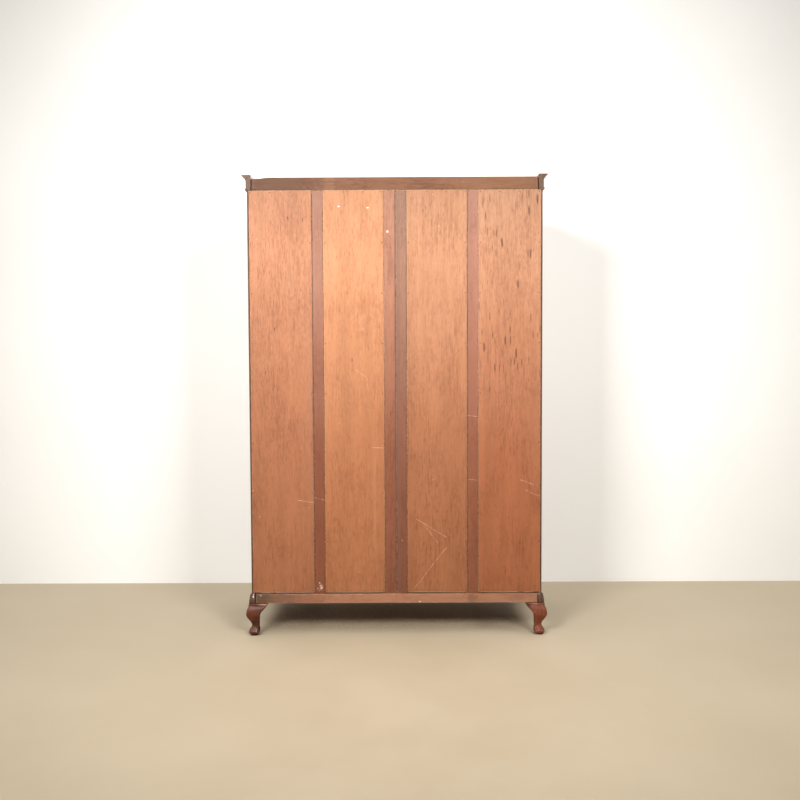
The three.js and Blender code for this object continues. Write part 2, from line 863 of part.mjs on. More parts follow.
function makeLock() {
  const lock = new THREE.Group();
  const boltZ = keyHeight + boltRise;
  const boltY = lockBoltY();
  const caseBlock = box(
    doorMeet,
    doorMeet + lockLength,
    lockFront,
    doorBack,
    keyHeight - lockHeight / 2,
    keyHeight + lockHeight / 2,
  );
  const channel = box(
    doorMeet - 1,
    doorMeet + boltLength + 4,
    boltY - boltThickness / 2 - gap,
    boltY + boltThickness / 2 + gap,
    boltZ - boltHeight / 2 - gap,
    boltZ + boltHeight / 2 + gap,
  );
  const cavityEnd = doorBack - 2;
  const spin = keyRadius + keyBitLength + 2 * gap;
  const cavity = bar(spin, [keyX, lockFront - 1, keyHeight], [keyX, cavityEnd, keyHeight], 32);
  add(lock, "lock_case", cut(caseBlock, channel, cavity), "steel");

  const boltTip = doorMeet + 1;
  const bolt = box(
    boltTip,
    boltTip + boltLength,
    boltY - boltThickness / 2,
    boltY + boltThickness / 2,
    boltZ - boltHeight / 2,
    boltZ + boltHeight / 2,
  );
  add(lock, "lock_bolt", bolt, "steel");

  const bowY = -keyReach;
  const stemEnd = doorThickness - 4;
  const bitStart = doorThickness - lockDepth + 1;
  const bow = new THREE.TorusGeometry(bowRadius, bowThickness, 10, 28);
  bow.rotateY(Math.PI / 2).translate(0, bowY, 0);
  const key = join(
    solidOf(bow),
    bar(keyRadius, [0, bowY + bowRadius, 0], [0, stemEnd, 0]),
    bar(keyRadius + 1.5, [0, bowY + bowRadius + 5, 0], [0, bowY + bowRadius + 8, 0]),
    box(
      -keyBitThickness / 2,
      keyBitThickness / 2,
      bitStart,
      bitStart + keyBitWidth,
      -keyRadius - keyBitLength,
      0,
    ),
  );
  add(lock, "key", key, "steel", { x: keyX, y: caseFront, z: keyHeight });

  const plate = new THREE.Shape();
  plate.absellipse(0, 0, escutcheonWidth / 2, escutcheonHeight / 2, 0, 2 * Math.PI, false);
  const plateFront = -escutcheonThickness - gap;
  const slotHalf = keyBitThickness / 2 + gap;
  const slotBottom = -keyRadius - keyBitLength - gap;
  const escutcheon = cut(
    alongY(plate, plateFront, -gap, 14),
    bar(keyHoleRadius, [0, plateFront - 1, 0], [0, 1, 0]),
    box(-slotHalf, slotHalf, plateFront - 1, 1, slotBottom, 0),
  );
  add(lock, "escutcheon", escutcheon, "brass", { x: keyX, y: caseFront, z: keyHeight });
  return lock;
}

// ---------------------------------------------------------------- flush bolts

function makeFlushBolts() {
  const bolts = new THREE.Group();
  const knob = doorBack + thumbProud - flushBoltY;
  const thumbStart = flushBoltLength - thumbHeight;
  const bolt = join(
    bar(flushBoltRadius, [0, 0, 0], [0, 0, flushBoltLength]),
    box(-thumbWidth / 2, thumbWidth / 2, 0, knob, thumbStart, flushBoltLength),
  );
  const place = { x: -flushBoltX, y: flushBoltY };
  add(bolts, "flush_bolt_bottom", bolt, "brass", { ...place, z: doorBottom + flushBoltRest });
  const upper = { ...place, z: doorTop - flushBoltRest };
  add(bolts, "flush_bolt_top", mirrored(bolt, "z"), "brass", upper);
  return bolts;
}

// ---------------------------------------------------------------- handles

// Pendant, drawn about its pivot: lug with its pivot pins, and a turned pear below.
function handleDrop() {
  const collar = 12;
  const outline = [
    [0, -dropLength],
    [3, -dropLength + 0.8],
    [dropRadius * 0.8, -dropLength + 5],
    [dropRadius, -dropLength + 11],
    [dropRadius * 0.86, -dropLength + 18],
    [dropRadius * 0.45, -dropLength + 28],
    [2.4, -collar - 6],
    [3.8, -collar - 3],
    [3.8, -collar],
    [2.2, -collar + 2],
    [0, -collar + 2],
  ];
  const turned = new THREE.LatheGeometry(
    outline.map(([r, z]) => new THREE.Vector2(r, z)),
    20,
  );
  turned.rotateX(Math.PI / 2);
  const pinReach = earGap / 2 + earThickness;
  return join(
    solidOf(turned),
    bar(earRadius - 1, [-lugWidth / 2, 0, 0], [lugWidth / 2, 0, 0]),
    box(-lugWidth / 2, lugWidth / 2, -2, 2, -collar, 0),
    bar(pivotRadius, [-pinReach, 0, 0], [pinReach, 0, 0], 16),
  );
}

// Backplate, drawn about the same pivot: a shaped plate with two ears.
function handlePlate() {
  const plateFront = pivotStandOff;
  const plateBack = pivotStandOff + plateThickness - gap;
  const plate = new THREE.Shape();
  plate.absellipse(0, 0, plateWidth / 2, plateHeight / 2, 0, 2 * Math.PI, false);
  const earX = earGap / 2 + earThickness / 2;
  const ear = (x) =>
    join(
      bar(earRadius, [x - earThickness / 2, 0, 0], [x + earThickness / 2, 0, 0]),
      box(x - earThickness / 2, x + earThickness / 2, 0, plateFront + 1, -earRadius, earRadius),
    );
  const reach = earX + earThickness;
  return cut(
    join(moved(alongY(plate, plateFront, plateBack, 16), 0, 0, -plateDrop), ear(-earX), ear(earX)),
    bar(pivotRadius + gap, [-reach, 0, 0], [reach, 0, 0], 16),
  );
}

function makeHandles() {
  const handles = new THREE.Group();
  const place = { x: handleX, y: pivotY, z: handleHeight };
  addPair(handles, "handle_plate", handlePlate(), "brass", place);
  addPair(handles, "handle_drop", handleDrop(), "brass", place);
  return handles;
}

// ---------------------------------------------------------------- hanging rail

function makeHangingRail() {
  const inside = new THREE.Group();
  const railY = 0;
  const face = sideInner - gap;
  const mouth = face - socketDepth;
  const socket = cut(
    join(
      bar(socketFlangeRadius, [face - socketFlange, railY, 0], [face, railY, 0], 32),
      bar(socketRadius, [mouth, railY, 0], [face, railY, 0], 32),
    ),
    bar(railRadius + railClearance, [mouth - 1, railY, 0], [face - socketFlange, railY, 0], 32),
  );
  addPair(inside, "rail_socket", socket, "brass", { z: railHeight });
  const railEnd = face - socketFlange - railClearance;
  const rail = bar(railRadius, [-railEnd, railY, 0], [railEnd, railY, 0], 32);
  add(inside, "hanging_rail", rail, "brass", { z: railHeight });
  return inside;
}

wardrobe.add(
  makeLegs(),
  makeBase(),
  makeCarcass(),
  makeBack(),
  makeCornice(),
  makeDoors(),
  makeHinges(),
  makeLock(),
  makeFlushBolts(),
  makeHandles(),
  makeHangingRail(),
);

export default wardrobe;
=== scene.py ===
import json
import math

import bmesh
import bpy
from mathutils import Matrix, Vector

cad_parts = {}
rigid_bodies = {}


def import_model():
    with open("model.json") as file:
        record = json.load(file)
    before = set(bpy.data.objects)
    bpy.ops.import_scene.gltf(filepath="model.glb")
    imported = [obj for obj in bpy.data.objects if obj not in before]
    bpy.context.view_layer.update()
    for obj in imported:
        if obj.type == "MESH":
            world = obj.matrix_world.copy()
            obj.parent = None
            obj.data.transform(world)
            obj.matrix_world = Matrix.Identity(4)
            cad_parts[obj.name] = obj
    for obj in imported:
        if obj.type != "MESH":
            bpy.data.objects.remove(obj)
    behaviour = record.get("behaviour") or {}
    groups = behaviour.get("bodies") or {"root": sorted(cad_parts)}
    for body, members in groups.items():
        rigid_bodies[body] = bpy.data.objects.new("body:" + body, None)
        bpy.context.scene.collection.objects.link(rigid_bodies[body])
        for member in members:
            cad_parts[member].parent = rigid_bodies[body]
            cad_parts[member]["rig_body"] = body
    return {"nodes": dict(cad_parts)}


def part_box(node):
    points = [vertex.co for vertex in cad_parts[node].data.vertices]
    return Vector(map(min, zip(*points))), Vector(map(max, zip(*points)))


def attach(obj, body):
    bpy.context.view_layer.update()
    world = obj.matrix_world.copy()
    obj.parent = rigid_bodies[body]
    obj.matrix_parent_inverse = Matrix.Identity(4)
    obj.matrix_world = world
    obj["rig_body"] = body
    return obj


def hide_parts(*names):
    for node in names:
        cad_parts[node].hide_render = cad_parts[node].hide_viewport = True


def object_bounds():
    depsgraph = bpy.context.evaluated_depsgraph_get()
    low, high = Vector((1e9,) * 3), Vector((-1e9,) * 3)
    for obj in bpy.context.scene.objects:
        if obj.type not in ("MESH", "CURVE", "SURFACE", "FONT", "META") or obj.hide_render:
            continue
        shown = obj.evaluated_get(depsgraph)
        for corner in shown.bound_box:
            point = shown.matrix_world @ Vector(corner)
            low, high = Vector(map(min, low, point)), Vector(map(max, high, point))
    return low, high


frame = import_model()
CAD_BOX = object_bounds()
NODES = frame["nodes"]
scene = bpy.context.scene

UP = "Z"  # the way the grain runs on upright pieces
ACROSS = "X"  # on pieces that run from side to side
DEEP = "Y"  # on pieces that run from front to back


# ---- joining up nodes


class Bench:
    """Adds nodes to one tree and joins them."""

    def __init__(self, tree):
        self.tree = tree

    def feed(self, socket, value):
        if isinstance(value, bpy.types.NodeSocket):
            self.tree.links.new(value, socket)
        elif value is not None:
            socket.default_value = value

    def node(self, kind, settings=None, inputs=None):
        made = self.tree.nodes.new(kind)
        for name, value in (settings or {}).items():
            setattr(made, name, value)
        for name, value in (inputs or {}).items():
            self.feed(made.inputs[name], value)
        return made

    def maths(self, operation, *values, clamp=False):
        made = self.node("ShaderNodeMath", {"operation": operation, "use_clamp": clamp})
        for socket, value in zip(made.inputs, values):
            self.feed(socket, value)
        return made.outputs[0]

    def plus(self, first, second):
        return self.maths("ADD", first, second)

    def minus(self, first, second):
        return self.maths("SUBTRACT", first, second)

    def times(self, first, second, clamp=False):
        return self.maths("MULTIPLY", first, second, clamp=clamp)

    def vector(self, operation, *values):
        made = self.node("ShaderNodeVectorMath", {"operation": operation})
        for socket, value in zip(made.inputs, values):
            self.feed(socket, value)
        single = operation in ("LENGTH", "DISTANCE", "DOT_PRODUCT")
        return made.outputs["Value" if single else "Vector"]

    def moved(self, place, shift):
        return self.vector("ADD", place, shift)

    def scaled(self, place, sizes):
        return self.vector("MULTIPLY", place, sizes)

    def joined(self, x=None, y=None, z=None):
        return self.node("ShaderNodeCombineXYZ", None, {"X": x, "Y": y, "Z": z}).outputs[0]

    def colour(self, factor, first, second, way="MIX"):
        made = self.node("ShaderNodeMix", {"data_type": "RGBA", "blend_type": way})
        self.feed(made.inputs[0], factor)
        self.feed(made.inputs[6], first)
        self.feed(made.inputs[7], second)
        return made.outputs[2]

    def tinted(self, base, tint):
        """A colour multiplied by a tint."""
        return self.colour(1.0, base, tint, "MULTIPLY")

    def between(self, value, low, high, to_low=0.0, to_high=1.0):
        """Rises smoothly from to_low, where value is low, to to_high, where it is high."""
        made = self.node("ShaderNodeMapRange", {"interpolation_type": "SMOOTHSTEP"})
        for socket, number in zip(made.inputs, (value, low, high, to_low, to_high)):
            self.feed(socket, number)
        return made.outputs[0]

    def noise(self, vector, scale, detail=3.0, roughness=0.55, distortion=0.0):
        sizes = {"Scale": scale, "Detail": detail, "Roughness": roughness, "Distortion": distortion}
        return self.node("ShaderNodeTexNoise", None, {"Vector": vector, **sizes}).outputs[0]

    def spots(self, vector, scale):
        """Distance to the nearest of many scattered points, and that point's own random colour."""
        made = self.node("ShaderNodeTexVoronoi", None, {"Vector": vector, "Scale": scale})
        return made.outputs["Distance"], made.outputs["Color"]

    def split(self, vector):
        return self.node("ShaderNodeSeparateXYZ", None, {"Vector": vector}).outputs

    def group(self, tree, **inputs):
        made = self.node("ShaderNodeGroup", {"node_tree": tree})
        for name, value in inputs.items():
            self.feed(made.inputs[name], value)
        return made.outputs

    def mask(self, tree, **inputs):
        return self.group(tree, **inputs)["Mask"]


def shader_group(name, inputs, outputs):
    """An empty shader group with its sockets. Returns the tree, its bench, its inputs and its output node."""
    tree = bpy.data.node_groups.new(name, "ShaderNodeTree")
    for label, value in inputs.items():
        kind = "NodeSocketFloat" if isinstance(value, float) else "NodeSocketVector"
        socket = tree.interface.new_socket(label, in_out="INPUT", socket_type=kind)
        socket.default_value = value
    for label in outputs:
        tree.interface.new_socket(label, in_out="OUTPUT", socket_type="NodeSocketFloat")
    bench = Bench(tree)
    given = bench.node("NodeGroupInput").outputs
    result = bench.node("NodeGroupOutput").inputs
    return tree, bench, given, result


# ---- effects shared by the finishes


def grain_group():
    """Wood grain along Z: broad bands, finer streaks, short dark pores and their height."""
    sockets = {"Vector": (0, 0, 0), "Shift": (0, 0, 0), "Stretch": 0.03, "Figure": 0.02}
    tree, b, given, result = shader_group("wood_grain", sockets, ("Bands", "Streaks", "Pores", "Height"))
    place = b.moved(given["Vector"], given["Shift"])
    lean = b.noise(b.scaled(place, (3.0, 3.0, 1.1)), 1.6, 2.0)
    lean = b.times(b.minus(lean, 0.5), given["Figure"])
    place = b.moved(place, b.joined(lean, lean))
    along = b.scaled(place, b.joined(1.0, 1.0, given["Stretch"]))
    bands = b.noise(b.scaled(along, (1.0, 1.0, 0.35)), 17.0, 2.0, 0.5)
    streaks = b.noise(along, 150.0, 5.0, 0.68)
    fine = b.noise(b.scaled(along, (1.0, 1.0, 0.9)), 640.0, 2.0, 0.5)
    pores = b.between(fine, 0.56, 0.72)
    height = b.minus(b.times(streaks, 0.6), b.times(pores, 0.8))
    b.feed(result["Bands"], bands)
    b.feed(result["Streaks"], streaks)
    b.feed(result["Pores"], pores)
    b.feed(result["Height"], height)
    return tree


def edge_group():
    """Where an outer edge has lost its finish: broken along its length."""
    sockets = {"Vector": (0, 0, 0), "Reach": 0.003, "Loss": 0.5}
    tree, b, given, result = shader_group("worn_edge", sockets, ("Mask",))
    rounded = b.node("ShaderNodeBevel", {"samples": 4}, {"Radius": given["Reach"]})
    straight = b.node("ShaderNodeNewGeometry").outputs["Normal"]
    turned = b.minus(1.0, b.vector("DOT_PRODUCT", rounded.outputs[0], straight))
    corner = b.between(turned, 0.008, 0.09)
    ragged = b.noise(given["Vector"], 110.0, 5.0, 0.65)
    low = b.minus(0.9, given["Loss"])
    kept = b.between(ragged, low, b.plus(low, 0.16))
    b.feed(result["Mask"], b.times(corner, kept, clamp=True))
    return tree


def scratch_group():
    """One scratch between two places on a back or front face, broken and a little unsteady."""
    sockets = {"Vector": (0, 0, 0), "Start": (0, 0, 0), "End": (0, 0, 1), "Width": 0.002}
    tree, b, given, result = shader_group("scratch", sockets, ("Mask",))
    face = b.scaled(given["Vector"], (1.0, 0.0, 1.0))
    sway = b.times(b.minus(b.noise(face, 16.0, 2.0), 0.5), 0.012)
    face = b.moved(face, b.joined(x=sway, z=sway))
    run = b.vector("SUBTRACT", given["End"], given["Start"])
    reach = b.vector("SUBTRACT", face, given["Start"])
    covered = b.vector("DOT_PRODUCT", reach, run)
    whole = b.vector("DOT_PRODUCT", run, run)
    share = b.maths("DIVIDE", covered, whole, clamp=True)
    away = b.vector("DISTANCE", reach, b.scaled(run, b.joined(share, share, share)))
    line = b.between(away, given["Width"], 0.0)
    broken = b.between(b.noise(given["Vector"], 90.0, 4.0, 0.7), 0.38, 0.6)
    b.feed(result["Mask"], b.times(line, broken))
    return tree


def patch_group():
    """A soft-edged patch about a place on a back or front face."""
    sockets = {"Vector": (0, 0, 0), "Middle": (0, 0, 0), "Size": (0.01, 1, 0.01), "Ragged": 0.5}
    tree, b, given, result = shader_group("patch", sockets, ("Mask",))
    away = b.vector("SUBTRACT", given["Vector"], given["Middle"])
    away = b.scaled(b.vector("DIVIDE", away, given["Size"]), (1.0, 0.0, 1.0))
    cloudy = b.noise(given["Vector"], 60.0, 3.0, 0.6)
    crumbly = b.noise(given["Vector"], 380.0, 3.0, 0.7)
    uneven = b.times(b.plus(cloudy, crumbly), given["Ragged"])
    reach = b.plus(b.vector("LENGTH", away), uneven)
    reach = b.minus(reach, b.times(given["Ragged"], 0.7))
    b.feed(result["Mask"], b.between(reach, 1.25, 0.6))
    return tree


def flecks_group():
    """Small scattered marks: chips, worm holes or, on a stretched vector, short gouges."""
    sockets = {"Vector": (0, 0, 0), "Spacing": 0.02, "Size": 0.15, "Chance": 0.3}
    tree, b, given, result = shader_group("flecks", sockets, ("Mask",))
    scale = b.maths("DIVIDE", 1.0, given["Spacing"])
    bent = b.times(b.minus(b.noise(given["Vector"], 260.0, 3.0), 0.5), 0.004)
    place = b.moved(given["Vector"], b.joined(bent))
    distance, chosen = b.spots(place, scale)
    mark = b.between(distance, given["Size"], b.times(given["Size"], 0.5))
    picked = b.maths("LESS_THAN", b.split(chosen)[0], given["Chance"])
    b.feed(result["Mask"], b.times(mark, picked))
    return tree


def stain_group():
    """Broad uneven clouds of discolouration."""
    sockets = {"Vector": (0, 0, 0), "Size": 0.1, "Cover": 0.5}
    tree, b, given, result = shader_group("stain", sockets, ("Mask",))
    cloud = b.noise(given["Vector"], b.maths("DIVIDE", 1.0, given["Size"]), 4.0, 0.6, 0.3)
    low = b.minus(1.0, given["Cover"])
    b.feed(result["Mask"], b.between(cloud, b.minus(low, 0.12), b.plus(low, 0.14)))
    return tree


def dust_group():
    """Dust that has settled on what faces up."""
    tree, b, given, result = shader_group("dust", {"Vector": (0, 0, 0), "Depth": 0.5}, ("Mask",))
    facing = b.split(b.node("ShaderNodeTexCoord").outputs["Normal"])[2]
    settled = b.between(facing, 0.35, 0.95)
    uneven = b.between(b.noise(given["Vector"], 24.0, 4.0, 0.6), 0.25, 0.7, 0.45, 1.0)
    b.feed(result["Mask"], b.times(b.times(settled, uneven), given["Depth"]))
    return tree


GRAIN = grain_group()
WORN_EDGE = edge_group()
SCRATCH = scratch_group()
PATCH = patch_group()
FLECKS = flecks_group()
STAIN = stain_group()
DUST = dust_group()


# ---- finishes


def new_finish(name):
    """An empty node material with its bench, shader and object coordinates."""
    material = bpy.data.materials.new(name)
    material.use_nodes = True
    material.node_tree.nodes.clear()
    bench = Bench(material.node_tree)
    shader = bench.node("ShaderNodeBsdfPrincipled")
    output = bench.node("ShaderNodeOutputMaterial")
    bench.feed(output.inputs["Surface"], shader.outputs[0])
    place = bench.node("ShaderNodeTexCoord").outputs["Object"]
    return material, bench, shader, place


def grain_way(b, place, way):
    """The place with the grain's direction turned to Z."""
    if way == UP:
        return place
    x, y, z = b.split(place)
    return b.joined(z, y, x) if way == ACROSS else b.joined(x, z, y)


def raise_surface(b, shader, height, depth):
    bump = b.node("ShaderNodeBump", None, {"Height": height, "Distance": depth, "Strength": 1.0})
    b.feed(shader.inputs["Normal"], bump.outputs[0])


def looks_rearward(b):
    """How far a face of the piece looks to the rear, from -1 to 1."""
    return b.split(b.node("ShaderNodeTexCoord").outputs["Normal"])[1]


def add_marks(b, place, base, marks):
    """Lays scratches, smudges and stains on the faces that look to the rear, one after another."""
    outside = b.between(looks_rearward(b), 0.1, 0.5) if marks else None
    for kind, first, second, size, tint, strength in marks:
        if kind == "scratch":
            start = (first[0], 0.0, first[1])
            end = (second[0], 0.0, second[1])
            mask = b.mask(SCRATCH, Vector=place, Start=start, End=end, Width=size)
        else:
            middle = (first[0], 0.0, first[1])
            spread = (second[0], 1.0, second[1])
            mask = b.mask(PATCH, Vector=place, Middle=middle, Size=spread, Ragged=size)
        if kind == "crumbs":
            crumb = b.mask(FLECKS, Vector=place, Spacing=0.006, Size=0.42, Chance=0.55)
            mask = b.times(mask, crumb)
        mask = b.times(mask, outside)
        base = b.colour(b.times(mask, strength), base, tint)
    return base


PALE = (0.86, 0.62, 0.44, 1)  # bare wood fibres
WHITE = (0.92, 0.84, 0.74, 1)  # plaster and paint flecks
DARK = (0.05, 0.02, 0.012, 1)  # old grime, and painted shade where it lines the back's joints
GOUGED = (0.075, 0.028, 0.014, 1)  # torn veneer inside a gouge
WOOD_DUST = (0.34, 0.29, 0.23, 1)
POLISH_DUST = (0.3, 0.26, 0.23, 1)
MAHOGANY_LIGHT = (0.2, 0.058, 0.026, 1)
MAHOGANY_DARK = (0.06, 0.018, 0.01, 1)
WORN_POLISH = (0.36, 0.17, 0.09, 1)
RAW_DARK = (0.022, 0.013, 0.007, 1)
RAW_PALE = (0.1, 0.052, 0.026, 1)
# These four multiply the wood's own colour. The first is painted shade near the top, under the cornice.
CORNICE_SHADE_TINT = (0.5, 0.5, 0.48, 1)
GRAIN_DEEP = (0.66, 0.56, 0.5, 1)
GRAIN_BRIGHT = (1.16, 1.17, 1.2, 1)
PORE = (0.42, 0.3, 0.25, 1)
# The door panels' veneer.
FIGURE_DARK = (0.115, 0.032, 0.013, 1)
FIGURE_PALE = (0.24, 0.078, 0.029, 1)
FIGURE_SHEEN = (0.34, 0.12, 0.045, 1)
FIGURE_STREAK = (0.07, 0.02, 0.009, 1)


def bare_wood(name, way, shift, high, low, contrast=1.0, figure=0.02, marks=(), gouges=0.0, dusty=0.12):
    """Unpolished wood. high and low are its colours near the cornice and near the floor."""
    material, b, shader, place = new_finish(name)
    grain_place = grain_way(b, place, way)
    grain = b.group(GRAIN, Vector=grain_place, Shift=shift, Stretch=0.075, Figure=figure)
    height = b.split(place)[2]
    uneven = b.times(b.minus(b.noise(place, 3.2, 3.0), 0.5), 0.5)
    climb = b.between(b.plus(height, uneven), 0.5, 2.2)
    base = b.colour(climb, low, high)
    # Painted shade: the wood darkens towards the top, under the cornice's overhang.
    painted_cornice_shade = b.between(height, 1.56, 1.9, 0.0, 0.42)
    base = b.colour(painted_cornice_shade, base, b.tinted(base, CORNICE_SHADE_TINT))
    deep = b.tinted(base, GRAIN_DEEP)
    bright = b.tinted(base, GRAIN_BRIGHT)
    base = b.colour(b.between(grain["Bands"], 0.3, 0.72), base, bright)
    tall = b.scaled(b.moved(grain_place, shift), (1.0, 1.0, 0.45))
    patchy = b.between(b.noise(tall, 13.0, 3.0), 0.36, 0.64, 0.3, 1.15)
    tone = b.between(grain["Streaks"], 0.42, 0.66, 0.0, 0.45 * contrast)
    base = b.colour(b.times(tone, patchy), base, deep)
    pores = b.times(b.times(grain["Pores"], patchy), 0.55 * contrast)
    base = b.colour(pores, base, b.tinted(base, PORE))
    clouds = b.mask(STAIN, Vector=tall, Size=0.075, Cover=0.43)
    mottle = b.between(b.noise(tall, 95.0, 4.0, 0.7), 0.35, 0.62)
    base = b.colour(b.times(b.times(clouds, mottle), 0.5), base, deep)
    stretched = b.scaled(grain_place, (1.0, 1.0, 0.2))
    if gouges:
        upper = b.between(height, 0.7, 1.25)
        fresh = b.moved(b.scaled(grain_place, (1.0, 1.0, 0.11)), shift)
        short = b.mask(FLECKS, Vector=fresh, Spacing=0.0095, Size=0.3, Chance=gouges)
        large = b.mask(FLECKS, Vector=stretched, Spacing=0.027, Size=0.2, Chance=gouges * 1.3)
        crowded = b.between(b.noise(tall, 11.0, 2.0), 0.42, 0.58, 0.25, 1.0)
        holes = b.maths("MAXIMUM", b.times(short, crowded), large)
        holes = b.times(holes, b.times(upper, 0.8))
        holes = b.times(holes, b.between(looks_rearward(b), 0.1, 0.5))
        base = b.colour(holes, base, GOUGED)
    nicks = b.mask(FLECKS, Vector=stretched, Spacing=0.02, Size=0.1, Chance=0.07)
    base = b.colour(b.times(nicks, 0.7), base, DARK)
    chips = b.mask(FLECKS, Vector=place, Spacing=0.026, Size=0.07, Chance=0.05)
    base = b.colour(b.times(chips, 0.6), base, PALE)
    base = add_marks(b, place, base, marks)
    edge = b.mask(WORN_EDGE, Vector=place, Reach=0.0025, Loss=0.5)
    base = b.colour(b.times(edge, 0.4), base, PALE)
    dust = b.mask(DUST, Vector=place, Depth=dusty)
    base = b.colour(dust, base, WOOD_DUST)
    b.feed(shader.inputs["Base Color"], base)
    rough = b.between(grain["Streaks"], 0.3, 0.7, 0.5, 0.68)
    b.feed(shader.inputs["Roughness"], b.plus(rough, b.times(dust, 0.2)))
    shader.inputs["Specular IOR Level"].default_value = 0.16
    surface = b.minus(grain["Height"], b.times(nicks, 1.5))
    raise_surface(b, shader, surface, 0.0005)
    return material


def polished(
    name, way, shift, light=MAHOGANY_LIGHT, dark=MAHOGANY_DARK, figure=0.02, chipped=0.45, marks=(),
    dusty=0.3, raw=False, gloss=0.2,
):
    """French-polished mahogany with worn edges and dust. With raw, what faces the rear is unpolished."""
    material, b, shader, place = new_finish(name)
    grain_place = grain_way(b, place, way)
    grain = b.group(GRAIN, Vector=grain_place, Shift=shift, Stretch=0.035, Figure=figure)
    base = b.colour(b.between(grain["Bands"], 0.3, 0.7), dark, light)
    base = b.colour(b.between(grain["Streaks"], 0.4, 0.68, 0.0, 0.7), base, dark)
    base = b.colour(b.times(grain["Pores"], 0.7), base, DARK)
    clouds = b.mask(STAIN, Vector=place, Size=0.09, Cover=0.4)
    base = b.colour(b.times(clouds, 0.4), base, dark)
    edge = b.mask(WORN_EDGE, Vector=place, Reach=0.003, Loss=chipped)
    base = b.colour(b.times(edge, 0.6), base, WORN_POLISH)
    dust = b.mask(DUST, Vector=place, Depth=dusty)
    base = b.colour(dust, base, POLISH_DUST)
    rough = b.between(grain["Streaks"], 0.3, 0.7, 0.36, 0.5)
    rough = b.plus(rough, b.times(b.plus(dust, edge), 0.3))
    if raw:
        facing = looks_rearward(b)
        if way == DEEP:
            facing = b.maths("ABSOLUTE", facing)
        unpolished = b.between(facing, 0.7, 0.95, 0.0, 0.9)
        bare = b.colour(b.noise(place, 190.0, 4.0), RAW_DARK, RAW_PALE)
        base = b.colour(unpolished, base, bare)
        rough = b.maths("MAXIMUM", rough, b.times(unpolished, 0.75))
        b.feed(shader.inputs["Coat Weight"], b.times(b.minus(1.0, unpolished), gloss))
    else:
        shader.inputs["Coat Weight"].default_value = gloss
    base = add_marks(b, place, base, marks)
    b.feed(shader.inputs["Base Color"], base)
    b.feed(shader.inputs["Roughness"], rough)
    shader.inputs["Coat Roughness"].default_value = 0.3
    shader.inputs["Specular IOR Level"].default_value = 0.08 + 1.1 * gloss
    raise_surface(b, shader, grain["Height"], 0.00018)
    return material


def figured_veneer(name, shift):
    """Book-matched veneer with tall arched figure under polish, for the door panels."""
    material, b, shader, place = new_finish(name)
    x, _, z = b.split(place)
    matched = b.moved(b.joined(b.maths("ABSOLUTE", x), 0.0, z), shift)
    grain = b.group(GRAIN, Vector=matched, Shift=(0, 0, 0), Stretch=0.05, Figure=0.05)
    hills = b.noise(b.scaled(matched, (1.0, 1.0, 0.2)), 4.2, 1.5, 0.45, 0.25)
    rings = b.maths("SINE", b.times(hills, 95.0))
    arches = b.between(rings, -0.9, 1.0)
    sheen = b.noise(b.scaled(matched, (1.0, 1.0, 2.4)), 7.0, 2.0, 0.5, 0.6)
    base = b.colour(arches, FIGURE_DARK, FIGURE_PALE)
    base = b.colour(b.between(sheen, 0.35, 0.68, 0.0, 0.45), base, FIGURE_SHEEN)
    base = b.colour(b.between(grain["Streaks"], 0.42, 0.7, 0.0, 0.6), base, FIGURE_STREAK)
    base = b.colour(b.times(grain["Pores"], 0.5), base, DARK)
    b.feed(shader.inputs["Base Color"], base)
    b.feed(shader.inputs["Roughness"], b.between(grain["Streaks"], 0.3, 0.7, 0.26, 0.38))
    shader.inputs["Coat Weight"].default_value = 0.4
    shader.inputs["Coat Roughness"].default_value = 0.14
    raise_surface(b, shader, grain["Height"], 0.0001)
    return material


def old_metal(name, bright, dull, tarnish, smooth=0.28, cloud=0.011):
    """Brass or steel with tarnish in clouds, fine scratches and brighter edges."""
    material, b, shader, place = new_finish(name)
    clouds = b.mask(STAIN, Vector=place, Size=cloud, Cover=tarnish)
    base = b.colour(clouds, bright, dull)
    brushed = b.noise(b.scaled(place, (1.0, 1.0, 9.0)), 420.0, 3.0)
    base = b.colour(b.between(brushed, 0.5, 0.8, 0.0, 0.35), base, dull)
    pits = b.mask(FLECKS, Vector=place, Spacing=0.0035, Size=0.16, Chance=0.3)
    base = b.colour(b.times(pits, 0.6), base, DARK)
    edge = b.mask(WORN_EDGE, Vector=place, Reach=0.0009, Loss=0.6)
    base = b.colour(b.times(edge, 0.7), base, bright)
    b.feed(shader.inputs["Base Color"], base)
    shader.inputs["Metallic"].default_value = 1.0
    rough = b.plus(smooth, b.times(clouds, 0.3))
    b.feed(shader.inputs["Roughness"], b.plus(rough, b.times(brushed, 0.08)))
    raise_surface(b, shader, b.minus(brushed, pits), 0.00004)
    return material


def scratch(start, end, width=0.0018, tint=PALE, strength=0.7):
    return ("scratch", start, end, width, tint, strength)


def smudge(middle, size, tint=PALE, strength=0.7, ragged=0.5):
    return ("smudge", middle, size, ragged, tint, strength)


def crumbs(middle, size, tint=WHITE, strength=0.8):
    return ("crumbs", middle, size, 0.5, tint, strength)


def joint_dirt_and_shade(x):
    """A dark line down the whole height of a joint: old dirt and painted shade."""
    return smudge((x, 1.0), (0.0026, 2.0), DARK, 0.75, 0.25)


